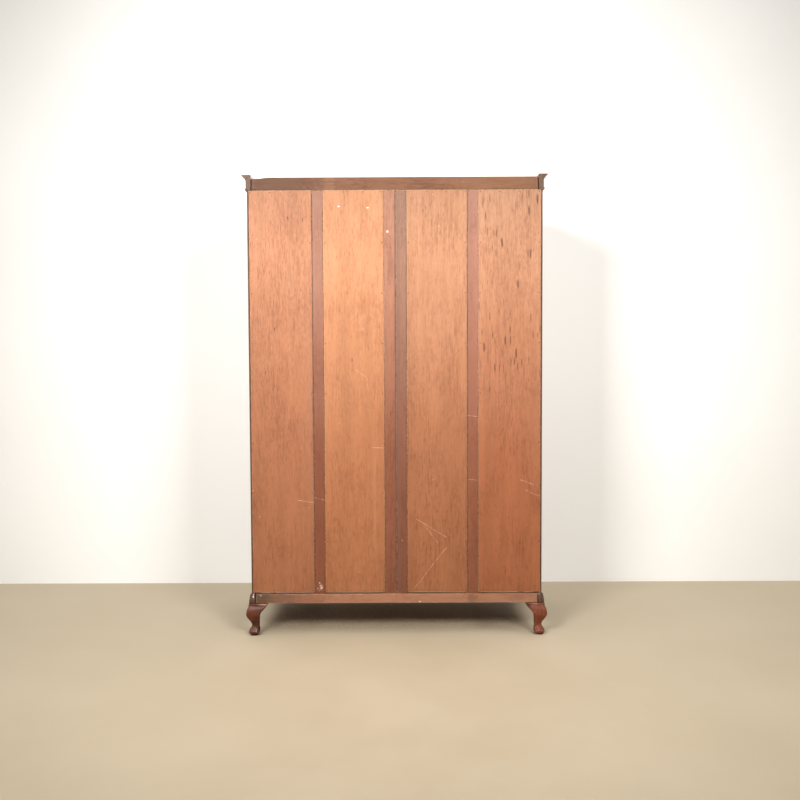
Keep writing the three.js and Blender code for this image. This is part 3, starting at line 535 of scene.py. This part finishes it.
# The back's four panels and what has happened to each.
outer_left_marks = [
    scratch((-0.52, 0.655), (-0.588, 0.628), 0.0018, PALE, 0.36),
    scratch((-0.54, 0.612), (-0.6, 0.585), 0.0017, PALE, 0.32),
    smudge((-0.575, 0.95), (0.02, 0.5), (0.2, 0.08, 0.04, 1), 0.35, 0.7),
]
inner_left_marks = [
    scratch((-0.07, 0.19), (-0.215, 0.375), 0.0017, PALE, 0.36),
    scratch((-0.085, 0.49), (-0.21, 0.413), 0.0017, PALE, 0.36),
    scratch((-0.12, 0.46), (-0.175, 0.39), 0.0014, PALE, 0.35),
    smudge((-0.2, 1.35), (0.012, 0.3), (0.25, 0.11, 0.06, 1), 0.3, 0.8),
]
inner_right_marks = [
    smudge((0.232, 1.791), (0.006, 0.0028), WHITE, 0.6, 0.5),
    smudge((0.112, 1.785), (0.007, 0.0024), WHITE, 0.45, 0.5),
    scratch((0.17, 1.12), (0.12, 1.085), 0.0017, PALE, 0.26),
    scratch((0.12, 1.085), (0.115, 1.03), 0.0015, PALE, 0.22),
    scratch((0.1, 0.796), (0.05, 0.79), 0.0018, PALE, 0.36),
    smudge((0.09, 0.6), (0.012, 0.35), (0.3, 0.14, 0.07, 1), 0.25, 0.8),
]
outer_right_marks = [
    scratch((0.41, 0.57), (0.35, 0.563), 0.0018, PALE, 0.34),
    smudge((0.365, 1.0), (0.014, 0.8), (0.22, 0.1, 0.055, 1), 0.35, 0.6),
    smudge((0.44, 1.5), (0.05, 0.11), (0.23, 0.11, 0.06, 1), 0.35, 1.2),
]

FINISH = {
    "back_panel_outer_right": bare_wood(
        "plywood_outer_right", UP, (0.4, 0, 0.3), (0.272, 0.123, 0.064, 1), (0.197, 0.074, 0.031, 1),
        1.0, 0.03, outer_right_marks,
    ),
    "back_panel_inner_right": bare_wood(
        "plywood_inner_right", UP, (2.1, 0, 1.7), (0.305, 0.143, 0.071, 1), (0.217, 0.082, 0.032, 1),
        0.8, 0.02, inner_right_marks,
    ),
    "back_panel_inner_left": bare_wood(
        "plywood_inner_left", UP, (5.3, 0, 0.9), (0.295, 0.147, 0.08, 1), (0.2, 0.0745, 0.03, 1),
        1.15, 0.015, inner_left_marks,
    ),
    "back_panel_outer_left": bare_wood(
        "plywood_outer_left", UP, (7.7, 0, 4.1), (0.305, 0.16, 0.09, 1), (0.2, 0.067, 0.026, 1),
        1.1, 0.02, outer_left_marks, gouges=0.55,
    ),
    "back_muntin_right": bare_wood(
        "muntin_right", UP, (11.0, 0, 2.0), (0.22, 0.11, 0.073, 1), (0.12, 0.037, 0.0157, 1),
        0.5, 0.01,
        [
            joint_dirt_and_shade(0.3425),
            crumbs((0.322, 0.206), (0.017, 0.022)),
            crumbs((0.352, 0.228), (0.01, 0.012), PALE, 0.6),
            smudge((0.317, 0.2), (0.012, 0.022), PALE, 0.3, 1.7),
            scratch((0.34, 0.58), (0.302, 0.572), 0.0018, PALE, 0.36),
        ],
    ),
    "back_muntin_left": bare_wood(
        "muntin_left", UP, (13.0, 0, 3.0), (0.232, 0.112, 0.077, 1), (0.137, 0.045, 0.0195, 1),
        0.5, 0.01,
        [
            joint_dirt_and_shade(-0.2995),
            scratch((-0.3, 0.925), (-0.345, 0.92), 0.0018, PALE, 0.34),
            scratch((-0.3, 0.658), (-0.345, 0.652), 0.0018, PALE, 0.3),
        ],
    ),
    "back_stile_right": bare_wood(
        "centre_stile_right", UP, (15.0, 0, 1.0), (0.232, 0.11, 0.066, 1), (0.132, 0.044, 0.02, 1),
        1.1, 0.015,
        [
            joint_dirt_and_shade(0.0),
            smudge((0.031, 1.688), (0.0042, 0.0046), WHITE, 0.75, 0.3),
            smudge((0.022, 1.56), (0.016, 0.14), DARK, 0.35, 1.1),
        ],
    ),
    "back_stile_left": bare_wood(
        "centre_stile_left", UP, (17.0, 0, 5.0), (0.185, 0.104, 0.068, 1), (0.117, 0.039, 0.018, 1),
        0.5, 0.012, [joint_dirt_and_shade(-0.0025), smudge((-0.012, 1.0), (0.012, 2.0), (0.1, 0.05, 0.035, 1), 0.35, 0.8)],
    ),
    "cornice_rear_board": bare_wood(
        "cornice_board", ACROSS, (3.0, 2.0, 0), (0.135, 0.06, 0.03, 1), (0.09, 0.036, 0.018, 1),
        1.3, 0.02,
        [
            smudge((0.47, 1.885), (0.24, 0.3), (0.05, 0.021, 0.009, 1), 0.72, 1.0),
            smudge((0.27, 1.885), (0.03, 0.1), (0.19, 0.1, 0.056, 1), 0.2, 0.8),
            smudge((-0.42, 1.885), (0.3, 0.1), (0.16, 0.074, 0.036, 1), 0.45, 1.0),
        ],
    ),
    "base_rail_rear": bare_wood(
        "rear_rail", ACROSS, (9.0, 4.0, 0), (0.24, 0.108, 0.058, 1), (0.24, 0.108, 0.058, 1),
        1.2, 0.02,
        [
            smudge((0.57, 0.156), (0.06, 0.09), (0.045, 0.03, 0.015, 1), 0.8, 1.0),
            smudge((0.5, 0.155), (0.12, 0.08), (0.075, 0.04, 0.024, 1), 0.6, 1.1),
            smudge((0.4, 0.155), (0.16, 0.06), (0.13, 0.054, 0.03, 1), 0.5, 1.0),
            smudge((-0.318, 0.155), (0.03, 0.025), (0.12, 0.05, 0.03, 1), 0.7, 0.9),
            smudge((-0.5, 0.155), (0.06, 0.02), (0.17, 0.08, 0.045, 1), 0.5, 0.9),
            smudge((-0.098, 0.14), (0.005, 0.003), WHITE, 0.6, 0.5),
            smudge((0.572, 0.168), (0.004, 0.004), PALE, 0.6, 0.7),
        ],
    ),
    "top_board": bare_wood(
        "top_board", ACROSS, (19.0, 1.0, 0), (0.26, 0.12, 0.065, 1), (0.26, 0.12, 0.065, 1),
        dusty=0.65,
    ),
}
OAK_COLOUR = (0.46, 0.29, 0.15, 1)
oak = bare_wood("interior_oak", ACROSS, (21.0, 3.0, 0), OAK_COLOUR, (0.42, 0.25, 0.12, 1), 0.9, 0.03)
upright = polished("mahogany_upright", UP, (23.0, 0, 1.0), chipped=0.25)
side_polish = polished("mahogany_side", UP, (31.0, 0, 1.0), chipped=0.25, raw=True, gloss=0.05)
side_to_side = polished("mahogany_across", ACROSS, (25.0, 2.0, 0))
front_to_back = polished(
    "mahogany_deep", DEEP, (27.0, 0, 2.0), chipped=0.6, raw=True,
    marks=[
        crumbs((0.602, 0.166), (0.009, 0.016), WHITE, 0.9),
        smudge((0.604, 0.163), (0.0035, 0.006), WHITE, 0.7, 0.6),
        crumbs((-0.602, 0.166), (0.008, 0.012), WHITE, 0.6),
    ],
)
leg_polish = polished(
    "mahogany_leg", UP, (29.0, 0, 3.0), (0.185, 0.045, 0.018, 1), (0.045, 0.013, 0.006, 1), 0.03, 0.55,
    [
        # Pale lines along the rear legs' top edges: painted highlight.
        smudge((0.562, 0.1325), (0.024, 0.0022), (0.5, 0.33, 0.24, 1), 0.6, 0.3),
        smudge((-0.575, 0.1325), (0.022, 0.002), (0.5, 0.33, 0.24, 1), 0.35, 0.4),
        # Pale flecks on the feet: worn knuckles, partly painted highlight.
        *[crumbs((x, 0.024), (0.018, 0.014), (0.4, 0.31, 0.25, 1), 0.65) for x in (0.589, -0.589)],
    ],
    dusty=0.05, gloss=0.05,
)
veneer = figured_veneer("figured_mahogany", (1.3, 0, 0.4))
brass = old_metal("aged_brass", (0.78, 0.55, 0.25, 1), (0.24, 0.145, 0.06, 1), 0.5)
rail_brass = old_metal("rail_brass", (0.66, 0.47, 0.22, 1), (0.4, 0.27, 0.12, 1), 0.45, 0.3, 0.07)
steel = old_metal("aged_steel", (0.3, 0.285, 0.27, 1), (0.19, 0.155, 0.13, 1), 0.5, 0.45, 0.03)
nail_steel = old_metal("nail_steel", (0.2, 0.17, 0.15, 1), (0.05, 0.03, 0.022, 1), 0.6, 0.5)


def finish_of(node):
    """The finish a CAD node's piece gets."""
    if node in FINISH:
        return FINISH[node]
    if node in ("bottom_board", "hat_shelf"):
        return oak
    if node.startswith("leg_"):
        return leg_polish
    if node.startswith("door_panel"):
        return veneer
    if node in ("cornice_left", "cornice_right", "base_rail_left", "base_rail_right"):
        return front_to_back
    if node in ("cornice_front", "base_rail_front") or "_top_rail" in node or "_bottom_rail" in node:
        return side_to_side
    if node in ("key", "lock_case", "lock_bolt") or node.endswith("_pin_left") or node.endswith("_pin_right"):
        return steel
    if node == "hanging_rail" or node.startswith("rail_socket"):
        return rail_brass
    if node.startswith("side_"):
        return side_polish
    if "_stile_" in node:
        return upright
    return brass


# ---- pieces from the CAD nodes


def welded(node):
    """A CAD node's shape with its triangles joined and its flat faces whole."""
    bm = bmesh.new()
    bm.from_mesh(NODES[node].data)
    bmesh.ops.remove_doubles(bm, verts=bm.verts, dist=2e-6)
    bmesh.ops.dissolve_limit(bm, angle_limit=math.radians(0.8), verts=bm.verts, edges=bm.edges)
    return bm


def ease_edges(bm, width, sharp=math.radians(29)):
    """Rounds every edge sharper than the given angle."""
    edges = [e for e in bm.edges if len(e.link_faces) == 2 and e.calc_face_angle(0.0) > sharp]
    bmesh.ops.bevel(
        bm, geom=edges, offset=width, offset_type="OFFSET", segments=2, profile=0.5, affect="EDGES",
        clamp_overlap=True,
    )


def make_piece(name, bm, finish, body, crease=math.radians(26)):
    """Turns a bmesh into a finished piece on a body. Edges sharper than crease stay crisp."""
    mesh = bpy.data.meshes.new(name)
    bm.normal_update()
    bm.to_mesh(mesh)
    bm.free()
    mesh.materials.append(finish)
    mesh.polygons.foreach_set("use_smooth", [True] * len(mesh.polygons))
    mesh.set_sharp_from_angle(angle=crease)
    piece = bpy.data.objects.new(name, mesh)
    scene.collection.objects.link(piece)
    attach(piece, body)
    return piece


def body_of(node):
    return NODES[node]["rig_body"]


def edge_width(node):
    """How far a piece's edges are rounded over, in metres."""
    if finish_of(node) in (brass, rail_brass, steel):
        return 0.0004
    if node.startswith("back_panel"):
        return 0.0008
    return 0.0012


def dress(node, shape=None):
    """Replaces a CAD node with the same piece, its edges eased and its finish on."""
    bm = welded(node)
    if shape:
        shape(bm)
    ease_edges(bm, edge_width(node))
    piece = make_piece("piece_" + node, bm, finish_of(node), body_of(node))
    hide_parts(node)


def chip_cornice_board(bm):
    """The rear board's upper corner is broken away a little at its +X end."""
    chip_depth = 0.0042
    chip_start = 0.528
    chip_full = 0.556
    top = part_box("cornice_rear_board")[1].z
    for place in (chip_start, chip_full):
        geometry = bm.verts[:] + bm.edges[:] + bm.faces[:]
        bmesh.ops.bisect_plane(bm, geom=geometry, plane_co=(place, 0, 0), plane_no=(1, 0, 0))
    for vertex in bm.verts:
        if vertex.co.z > top - 0.001 and vertex.co.x > (chip_start + chip_full) / 2:
            vertex.co.z -= chip_depth


FOOT_HEIGHT = 0.044
FOOT_PROFILE = (
    (0.0, 0.0145),
    (0.003, 0.0188),
    (0.009, 0.0232),
    (0.016, 0.025),
    (0.023, 0.0236),
    (0.030, 0.0198),
    (0.037, 0.0165),
    (FOOT_HEIGHT, 0.0155),
)


def foot_radius(height):
    """The ball foot's radius at a height above the floor."""
    for (z0, r0), (z1, r1) in zip(FOOT_PROFILE, FOOT_PROFILE[1:]):
        if height <= z1:
            return r0 + (r1 - r0) * max(0.0, (height - z0) / (z1 - z0))
    return FOOT_PROFILE[-1][1]


def shape_foot(bm, corner):
    """Swells a leg's end into a ball held by four knuckled claws, one of them on the outer corner."""
    knee_overhang = 0.01
    ball_inset = 0.0205
    ankle_inset = 0.005
    ankle_start = 0.016
    ankle_rise = 0.026
    sole_taper = 0.3
    knuckle_spacing = 0.0135
    claw_rise = 0.0026
    hollow = 0.002
    blend_height = 0.012
    side = 1 if corner.x > 0 else -1
    rear = 1 if corner.y > 0 else -1
    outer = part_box("leg_rear_right")[1] - Vector((knee_overhang, knee_overhang, 0))
    bm.normal_update()
    for vertex in bm.verts:
        height = vertex.co.z
        if height > FOOT_HEIGHT:
            continue
        lean = ball_inset + ankle_inset * min(1.0, max(0.0, (height - ankle_start) / ankle_rise))
        middle = Vector((side * (outer.x - lean), rear * (outer.y - lean), 0))
        flat = Vector((vertex.co.x, vertex.co.y, 0)) - middle
        if flat.length < 1e-5:
            continue
        if vertex.normal.z < -0.8:
            vertex.co -= flat * sole_taper
            continue
        around = math.atan2(flat.y * rear, flat.x * side) - math.pi / 4
        claw = (0.5 + 0.5 * math.cos(4 * around)) ** 2
        knuckle = 1 + 0.5 * math.cos(2 * math.pi * height / knuckle_spacing)
        carve = (claw_rise * claw * knuckle - hollow * (1 - claw)) * min(1.0, 4 * (1 - height / FOOT_HEIGHT))
        hold = min(1.0, (FOOT_HEIGHT - height) / blend_height)
        radius = flat.length + (foot_radius(height) - flat.length) * hold + carve * hold
        vertex.co += flat.normalized() * (radius - flat.length)


def leg_shape(node):
    """The cabriole leg rounded over, with a small ball-and-claw foot."""
    rough = bpy.data.objects.new("leg_blank", NODES[node].data.copy())
    scene.collection.objects.link(rough)
    remesh = rough.modifiers.new("Remesh", "REMESH")
    remesh.mode = "VOXEL"
    remesh.voxel_size = 0.0017
    graph = bpy.context.evaluated_depsgraph_get()
    carved = bpy.data.meshes.new_from_object(rough.evaluated_get(graph))
    bpy.data.objects.remove(rough)
    bm = bmesh.new()
    bm.from_mesh(carved)
    bpy.data.meshes.remove(carved)
    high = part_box(node)[1]
    kept_square = 0.006
    passes = 16
    below = [v for v in bm.verts if v.co.z < high.z - kept_square]
    every_way = {"use_axis_x": True, "use_axis_y": True, "use_axis_z": True}
    for _ in range(passes):
        bmesh.ops.smooth_vert(bm, verts=below, factor=0.5, **every_way)
    shape_foot(bm, high)
    bmesh.ops.smooth_vert(bm, verts=below, factor=0.3, **every_way)
    lowest = min(v.co.z for v in bm.verts)
    for vertex in bm.verts:
        vertex.co.z -= lowest * (1 - vertex.co.z / high.z)
    return bm


def make_leg(node):
    piece = make_piece(
        "piece_" + node, leg_shape(node), leg_polish, body_of(node), math.radians(60)
    )
    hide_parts(node)


# ---- nails and screws


def geometry_tree(name, sizes):
    """A Geometry Nodes tree for something fixed at scattered places, with named inputs."""
    tree = bpy.data.node_groups.new(name, "GeometryNodeTree")
    tree.interface.new_socket("Geometry", in_out="INPUT", socket_type="NodeSocketGeometry")
    for label, value in sizes.items():
        kind = "NodeSocketInt" if isinstance(value, int) else "NodeSocketFloat"
        tree.interface.new_socket(label, in_out="INPUT", socket_type=kind).default_value = value
    tree.interface.new_socket("Finish", in_out="INPUT", socket_type="NodeSocketMaterial")
    tree.interface.new_socket("Geometry", in_out="OUTPUT", socket_type="NodeSocketGeometry")
    bench = Bench(tree)
    given = bench.node("NodeGroupInput").outputs
    return tree, bench, given


def place_heads(b, given, head):
    """Sets one head at each place, facing the way the place aims, turned by chance about its own axis."""
    aim = b.node("GeometryNodeInputNamedAttribute", {"data_type": "FLOAT_VECTOR"}, {"Name": "aim"})
    facing = b.node("FunctionNodeAlignRotationToVector", {"axis": "Z"}, {"Vector": aim.outputs[0]})
    chance = b.node("FunctionNodeRandomValue", {"data_type": "FLOAT"})
    b.feed(chance.inputs[2], 0.0)
    b.feed(chance.inputs[3], math.tau)
    b.feed(chance.inputs["Seed"], given["Seed"])
    spin = b.node("FunctionNodeAxisAngleToRotation", None, {"Axis": (0, 0, 1), "Angle": chance.outputs[1]})
    turned = b.node("FunctionNodeRotateRotation", {"rotation_space": "LOCAL"})
    b.feed(turned.inputs[0], facing.outputs[0])
    b.feed(turned.inputs[1], spin.outputs[0])
    heads = b.node(
        "GeometryNodeInstanceOnPoints",
        None,
        {"Points": given["Geometry"], "Instance": head, "Rotation": turned.outputs[0]},
    )
    whole = b.node("GeometryNodeRealizeInstances", None, {"Geometry": heads.outputs[0]})
    painted = b.node(
        "GeometryNodeSetMaterial", None, {"Geometry": whole.outputs[0], "Material": given["Finish"]}
    )
    output = b.node("NodeGroupOutput")
    b.feed(output.inputs[0], painted.outputs[0])


def lifted(b, shape, height):
    raised = {"Geometry": shape, "Translation": b.joined(z=height)}
    return b.node("GeometryNodeTransform", None, raised).outputs[0]


def screw_tree():
    """Slotted screw heads: a low dome, cut across by the slot."""
    sizes = {"Radius": 0.002, "Height": 0.0008, "Slot": 0.0006, "Seed": 3}
    tree, b, given = geometry_tree("slotted_screws", sizes)
    edge = b.times(given["Radius"], 0.62)
    head = b.node("GeometryNodeMeshCone", {"fill_type": "NGON"})
    b.feed(head.inputs["Vertices"], 14)
    b.feed(head.inputs["Radius Top"], edge)
    b.feed(head.inputs["Radius Bottom"], given["Radius"])
    b.feed(head.inputs["Depth"], given["Height"])
    size = b.joined(b.times(given["Radius"], 2.4), given["Slot"], given["Height"])
    bar = b.node("GeometryNodeMeshCube", None, {"Size": size})
    slot = lifted(b, bar.outputs[0], given["Height"])
    cut = b.node("GeometryNodeMeshBoolean", {"operation": "DIFFERENCE"})
    b.feed(cut.inputs["Mesh 1"], head.outputs[0])
    b.feed(cut.inputs["Mesh 2"], slot)
    place_heads(b, given, cut.outputs[0])
    return tree


def nail_tree():
    """Small hammered nail heads with a flattened crown."""
    tree, b, given = geometry_tree("nail_heads", {"Radius": 0.0018, "Height": 0.0006, "Seed": 7})
    head = b.node("GeometryNodeMeshCone", {"fill_type": "NGON"})
    b.feed(head.inputs["Vertices"], 10)
    b.feed(head.inputs["Radius Top"], b.times(given["Radius"], 0.7))
    b.feed(head.inputs["Radius Bottom"], given["Radius"])
    b.feed(head.inputs["Depth"], given["Height"])
    place_heads(b, given, head.outputs[0])
    return tree


SCREWS = screw_tree()
NAILS = nail_tree()


def fit_heads(name, tree, places, sizes, finish, body):
    """Sets nail or screw heads at places, each a point and the way it faces, as one piece on a body."""
    points = bpy.data.meshes.new(name)
    points.from_pydata([point for point, _ in places], [], [])
    aims = points.attributes.new("aim", "FLOAT_VECTOR", "POINT")
    aims.data.foreach_set("vector", [number for _, aim in places for number in aim])
    maker = bpy.data.objects.new(name + "_places", points)
    scene.collection.objects.link(maker)
    modifier = maker.modifiers.new("heads", "NODES")
    modifier.node_group = tree
    values = {**sizes, "Finish": finish}
    for item in tree.interface.items_tree:
        if item.in_out == "INPUT" and item.name in values:
            modifier[item.identifier] = values[item.name]
    graph = bpy.context.evaluated_depsgraph_get()
    mesh = bpy.data.meshes.new_from_object(maker.evaluated_get(graph))
    bpy.data.objects.remove(maker)
    mesh.name = name
    piece = bpy.data.objects.new(name, mesh)
    scene.collection.objects.link(piece)
    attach(piece, body)


def spread_over(start, end, spacing):
    """Evenly spaced numbers from start to end, about spacing apart."""
    count = max(1, round((end - start) / spacing))
    return [start + (end - start) * i / count for i in range(count + 1)]


REARWARD = (0.0, 1.0, 0.0)
FORWARD = (0.0, -1.0, 0.0)


def nail_back_panels():
    """Nails round each back panel, a little in from its edges."""
    places = []
    inset = 0.007
    spacing_across = 0.085
    spacing_up = 0.21
    for node in ("outer_left", "inner_left", "inner_right", "outer_right"):
        low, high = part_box("back_panel_" + node)
        across = spread_over(low.x + inset, high.x - inset, spacing_across)
        up = spread_over(low.z + inset, high.z - inset, spacing_up)
        for x in across:
            places.append(((x, high.y, high.z - inset), REARWARD))
            places.append(((x, high.y, low.z + inset), REARWARD))
        for z in up[1:-1]:
            places.append(((low.x + inset, high.y, z), REARWARD))
            places.append(((high.x - inset, high.y, z), REARWARD))
    fit_heads("back_nails", NAILS, places, {"Radius": 0.0023}, nail_steel, "carcass")


def nail_rear_boards():
    """Nails through the rear rail and the cornice's rear board."""
    places = []
    inset = 0.03
    spacing = 0.29
    above_middle = 0.006
    for node in ("base_rail_rear", "cornice_rear_board"):
        low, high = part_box(node)
        z = (low.z + high.z) / 2 + above_middle
        for x in spread_over(low.x + inset, high.x - inset, spacing):
            places.append(((x, high.y, z), REARWARD))
    fit_heads("board_nails", NAILS, places, {"Radius": 0.002}, nail_steel, "carcass")


def screw_hinges():
    """Three screws through each hinge leaf."""
    from_knuckle = 0.0065
    sizes = {"Radius": 0.0028, "Height": 0.0001}
    for side in ("left", "right"):
        outward = -1.0 if side == "left" else 1.0
        places = {"case": [], "door": []}
        for level in ("lower", "upper"):
            for part in places:
                low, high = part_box(f"hinge_{level}_{part}_leaf_{side}")
                toward_gap = -outward if part == "case" else outward
                face = low.x if toward_gap < 0 else high.x
                for share in (0.14, 0.5, 0.86):
                    z = low.z + (high.z - low.z) * share
                    places[part].append(((face, high.y - from_knuckle, z), (toward_gap, 0.0, 0.0)))
        for part, body in (("case", "carcass"), ("door", f"door_{side}")):
            name = f"{part}_hinge_screws_{side}"
            fit_heads(name, SCREWS, places[part], sizes, brass, body)


def fix_handles_and_escutcheon():
    """Two screws in each handle plate and two pins in the escutcheon."""
    plate_relief = 0.0022
    above_edge = 0.006
    spacing = 0.05
    for side in ("left", "right"):
        low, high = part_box(f"handle_plate_{side}")
        x = (low.x + high.x) / 2
        face = high.y - plate_relief
        bottom = low.z + above_edge
        places = [((x, face, bottom), FORWARD), ((x, face, bottom + spacing), FORWARD)]
        sizes = {"Radius": 0.0021, "Height": 0.0009, "Slot": 0.0005}
        fit_heads(f"handle_screws_{side}", SCREWS, places, sizes, brass, f"door_{side}")
    low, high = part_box("escutcheon")
    x = (low.x + high.x) / 2
    inset = 0.0035
    places = [((x, low.y, low.z + inset), FORWARD), ((x, low.y, high.z - inset), FORWARD)]
    fit_heads("escutcheon_pins", NAILS, places, {"Radius": 0.0011}, brass, "door_right")


def screw_rail_sockets():
    """Two screws in each hanging-rail socket."""
    flange = 0.004
    from_rail = 0.0208
    for side in ("left", "right"):
        low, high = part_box(f"rail_socket_{side}")
        inward = 1.0 if side == "left" else -1.0
        face = (low.x if side == "left" else high.x) + inward * flange
        y = (low.y + high.y) / 2
        z = (low.z + high.z) / 2
        aim = (inward, 0.0, 0.0)
        places = [((face, y + from_rail, z), aim), ((face, y - from_rail, z), aim)]
        sizes = {"Radius": 0.0022, "Height": 0.0008}
        fit_heads(f"rail_socket_screws_{side}", SCREWS, places, sizes, brass, "carcass")


# ---- added trim


def bead_profile():
    """A small ovolo bead: how far in from the opening's edge, and how far off the panel."""
    steps = 6
    width = 0.0085
    depth = 0.0062
    fillet = 0.0012
    gap = 0.0002
    clearance = 0.0003
    points = [(clearance, gap), (clearance, depth)]
    for i in range(steps + 1):
        turn = math.pi / 2 * i / steps
        inward = fillet + (width - fillet) * math.sin(turn)
        outward = fillet + (depth - fillet) * math.cos(turn)
        points.append((inward, outward))
    points.append((width, gap))
    return points


def bead_frame(name, low_x, high_x, low_z, high_z, panel_y, body):
    """A mitred bead round a door panel's opening."""
    bm = bmesh.new()
    profile = bead_profile()
    corners = []
    for x, z, inward_x, inward_z in (
        (low_x, low_z, 1, 1),
        (high_x, low_z, -1, 1),
        (high_x, high_z, -1, -1),
        (low_x, high_z, 1, -1),
    ):
        corners.append(
            [bm.verts.new((x + inward_x * u, panel_y - v, z + inward_z * u)) for u, v in profile]
        )
    for index, ring in enumerate(corners):
        following = corners[(index + 1) % 4]
        for i in range(len(profile)):
            j = (i + 1) % len(profile)
            bm.faces.new((ring[i], following[i], following[j], ring[j]))
    bmesh.ops.recalc_face_normals(bm, faces=bm.faces)
    make_piece(name, bm, side_to_side, body, math.radians(40))


def bead_doors():
    """An ovolo bead round each door's panel."""
    for side in ("left", "right"):
        panel_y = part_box(f"door_panel_{side}")[0].y
        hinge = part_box(f"door_hinge_stile_{side}")
        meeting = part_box(f"door_meeting_stile_{side}")
        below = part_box(f"door_bottom_rail_{side}")[1].z
        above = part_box(f"door_top_rail_{side}")[0].z
        if side == "left":
            low_x = hinge[1].x
            high_x = meeting[0].x
        else:
            low_x = meeting[1].x
            high_x = hinge[0].x
        bead_frame(f"door_bead_{side}", low_x, high_x, below, above, panel_y, f"door_{side}")


# ---- floor, light and camera


def plain_surface(name, low, high, scale):
    """A plain matt finish for the floor or the wall, a little uneven in colour."""
    material, b, shader, place = new_finish(name)
    uneven = b.noise(place, scale, 4.0, 0.6)
    b.feed(shader.inputs["Base Color"], b.colour(b.between(uneven, 0.3, 0.7), low, high))
    b.feed(shader.inputs["Roughness"], b.between(uneven, 0.3, 0.7, 0.55, 0.75))
    shader.inputs["Specular IOR Level"].default_value = 0.3
    return material, b, shader


def flat_sheet(name, corners, material):
    mesh = bpy.data.meshes.new(name)
    mesh.from_pydata(corners, [], [(0, 1, 2, 3)])
    mesh.materials.append(material)
    sheet = bpy.data.objects.new(name, mesh)
    scene.collection.objects.link(sheet)
    return sheet


def make_studio():
    """A pale floor with a painted shadow beneath the case, and a pale wall in front of the doors that is seen
    only from the back's side.
    """
    reach = 7
    wall_height = 4.2
    wall_gap = 0.28
    floor, b, shader = plain_surface("floor", (0.5, 0.41, 0.28, 1), (0.54, 0.45, 0.318, 1), 1.7)
    # Painted shadow: the floor darkens beneath the case, where ambient occlusion finds it covered.
    shade = b.node("ShaderNodeAmbientOcclusion", {"samples": 8}, {"Distance": 0.3}).outputs["AO"]
    pale = shader.inputs["Base Color"].links[0].from_socket
    painted_case_shadow = (0.035, 0.018, 0.007, 1)
    b.feed(shader.inputs["Base Color"], b.colour(b.between(shade, 0.2, 0.42), painted_case_shadow, pale))
    corners = [(-reach, -reach, 0), (reach, -reach, 0), (reach, reach, 0), (-reach, reach, 0)]
    flat_sheet("floor", corners, floor)
    wall, b, shader = plain_surface("wall", (0.88, 0.87, 0.83, 1), (0.92, 0.91, 0.88, 1), 0.8)
    behind = b.node("ShaderNodeNewGeometry").outputs["Backfacing"]
    clear = b.node("ShaderNodeBsdfTransparent")
    shader.inputs["Emission Color"].default_value = (1.0, 0.98, 0.94, 1)
    shader.inputs["Emission Strength"].default_value = 0.14
    choice = b.node("ShaderNodeMixShader", None, {0: behind, 1: shader.outputs[0], 2: clear.outputs[0]})
    output = [n for n in wall.node_tree.nodes if n.type == "OUTPUT_MATERIAL"][0]
    b.feed(output.inputs["Surface"], choice.outputs[0])
    y = CAD_BOX[0].y - wall_gap
    corners = [(reach, y, 0), (-reach, y, 0), (-reach, y, wall_height), (reach, y, wall_height)]
    backdrop = flat_sheet("wall", corners, wall)
    backdrop.visible_shadow = False
    backdrop.visible_diffuse = False


def area_light(name, place, aim, size, power, spread=180):
    light = bpy.data.lights.new(name, "AREA")
    light.shape = "RECTANGLE"
    light.size, light.size_y = size
    light.energy = power
    light.spread = math.radians(spread)
    lamp = bpy.data.objects.new(name, light)
    lamp.location = place
    lamp.rotation_euler = (Vector(aim) - Vector(place)).to_track_quat("-Z", "Y").to_euler()
    lamp.visible_camera = False
    scene.collection.objects.link(lamp)
    return lamp


def light_studio():
    """Two lamps aimed high on the back, one for the doors, a wide one for the floor, and a pale sky."""
    sky_light = 0.23
    sky_seen = 0.9
    world = bpy.data.worlds.new("studio")
    world.use_nodes = True
    b = Bench(world.node_tree)
    background = world.node_tree.nodes["Background"]
    background.inputs["Color"].default_value = (1.0, 0.985, 0.96, 1)
    seen = b.node("ShaderNodeLightPath").outputs["Is Camera Ray"]
    b.feed(background.inputs["Strength"], b.between(seen, 0.0, 1.0, sky_light, sky_seen))
    scene.world = world
    area_light("lamp_left", (1.75, 3.5, 2.6), (0.05, 0.27, 1.62), (1.2, 1.0), power=42, spread=84)
    area_light("lamp_right", (-1.75, 3.5, 2.6), (-0.05, 0.27, 1.62), (1.2, 1.0), power=34, spread=84)
    front = area_light("front_lamp", (-1.4, -3.6, 2.6), (0.0, -0.27, 1.0), (2.2, 1.6), power=125)
    ceiling = area_light(
        "ceiling_lamp", (0.0, 0.0, 5.0), (0.0, 0.001, 0.0), (18.0, 18.0), power=560, spread=100
    )
    for lamp, takes_floor in ((front, False), (ceiling, True)):
        lit = bpy.data.collections.new("lit_by_" + lamp.name)
        for thing in scene.objects:
            if thing.type == "MESH" and (thing.name == "floor") == takes_floor and thing.name != "wall":
                lit.objects.link(thing)
        lamp.light_linking.receiver_collection = lit
    scene.view_settings.view_transform = "Standard"


def set_camera():
    """Looks at the back from about three and a half metres, a little downwards."""
    lens = bpy.data.cameras.new("camera")
    lens.sensor_width = 36
    lens.lens = 38.6
    camera = bpy.data.objects.new("camera", lens)
    camera.location = (-0.0254, 3.837, 1.16)
    down = 2.714
    aside = 0.118
    tilt = -0.252
    pitch = math.radians(90 - down)
    turn = math.radians(180 + aside)
    roll = math.radians(tilt)
    camera.rotation_euler = (
        Matrix.Rotation(turn, 3, "Z") @ Matrix.Rotation(pitch, 3, "X") @ Matrix.Rotation(roll, 3, "Z")
    ).to_euler()
    scene.collection.objects.link(camera)
    scene.camera = camera


# ---- putting it together

set_camera()
make_studio()
for node in sorted(NODES):
    if node.startswith("leg_"):
        make_leg(node)
    elif node == "cornice_rear_board":
        dress(node, chip_cornice_board)
    else:
        dress(node)
nail_back_panels()
nail_rear_boards()
screw_hinges()
fix_handles_and_escutcheon()
screw_rail_sockets()
bead_doors()
light_studio()
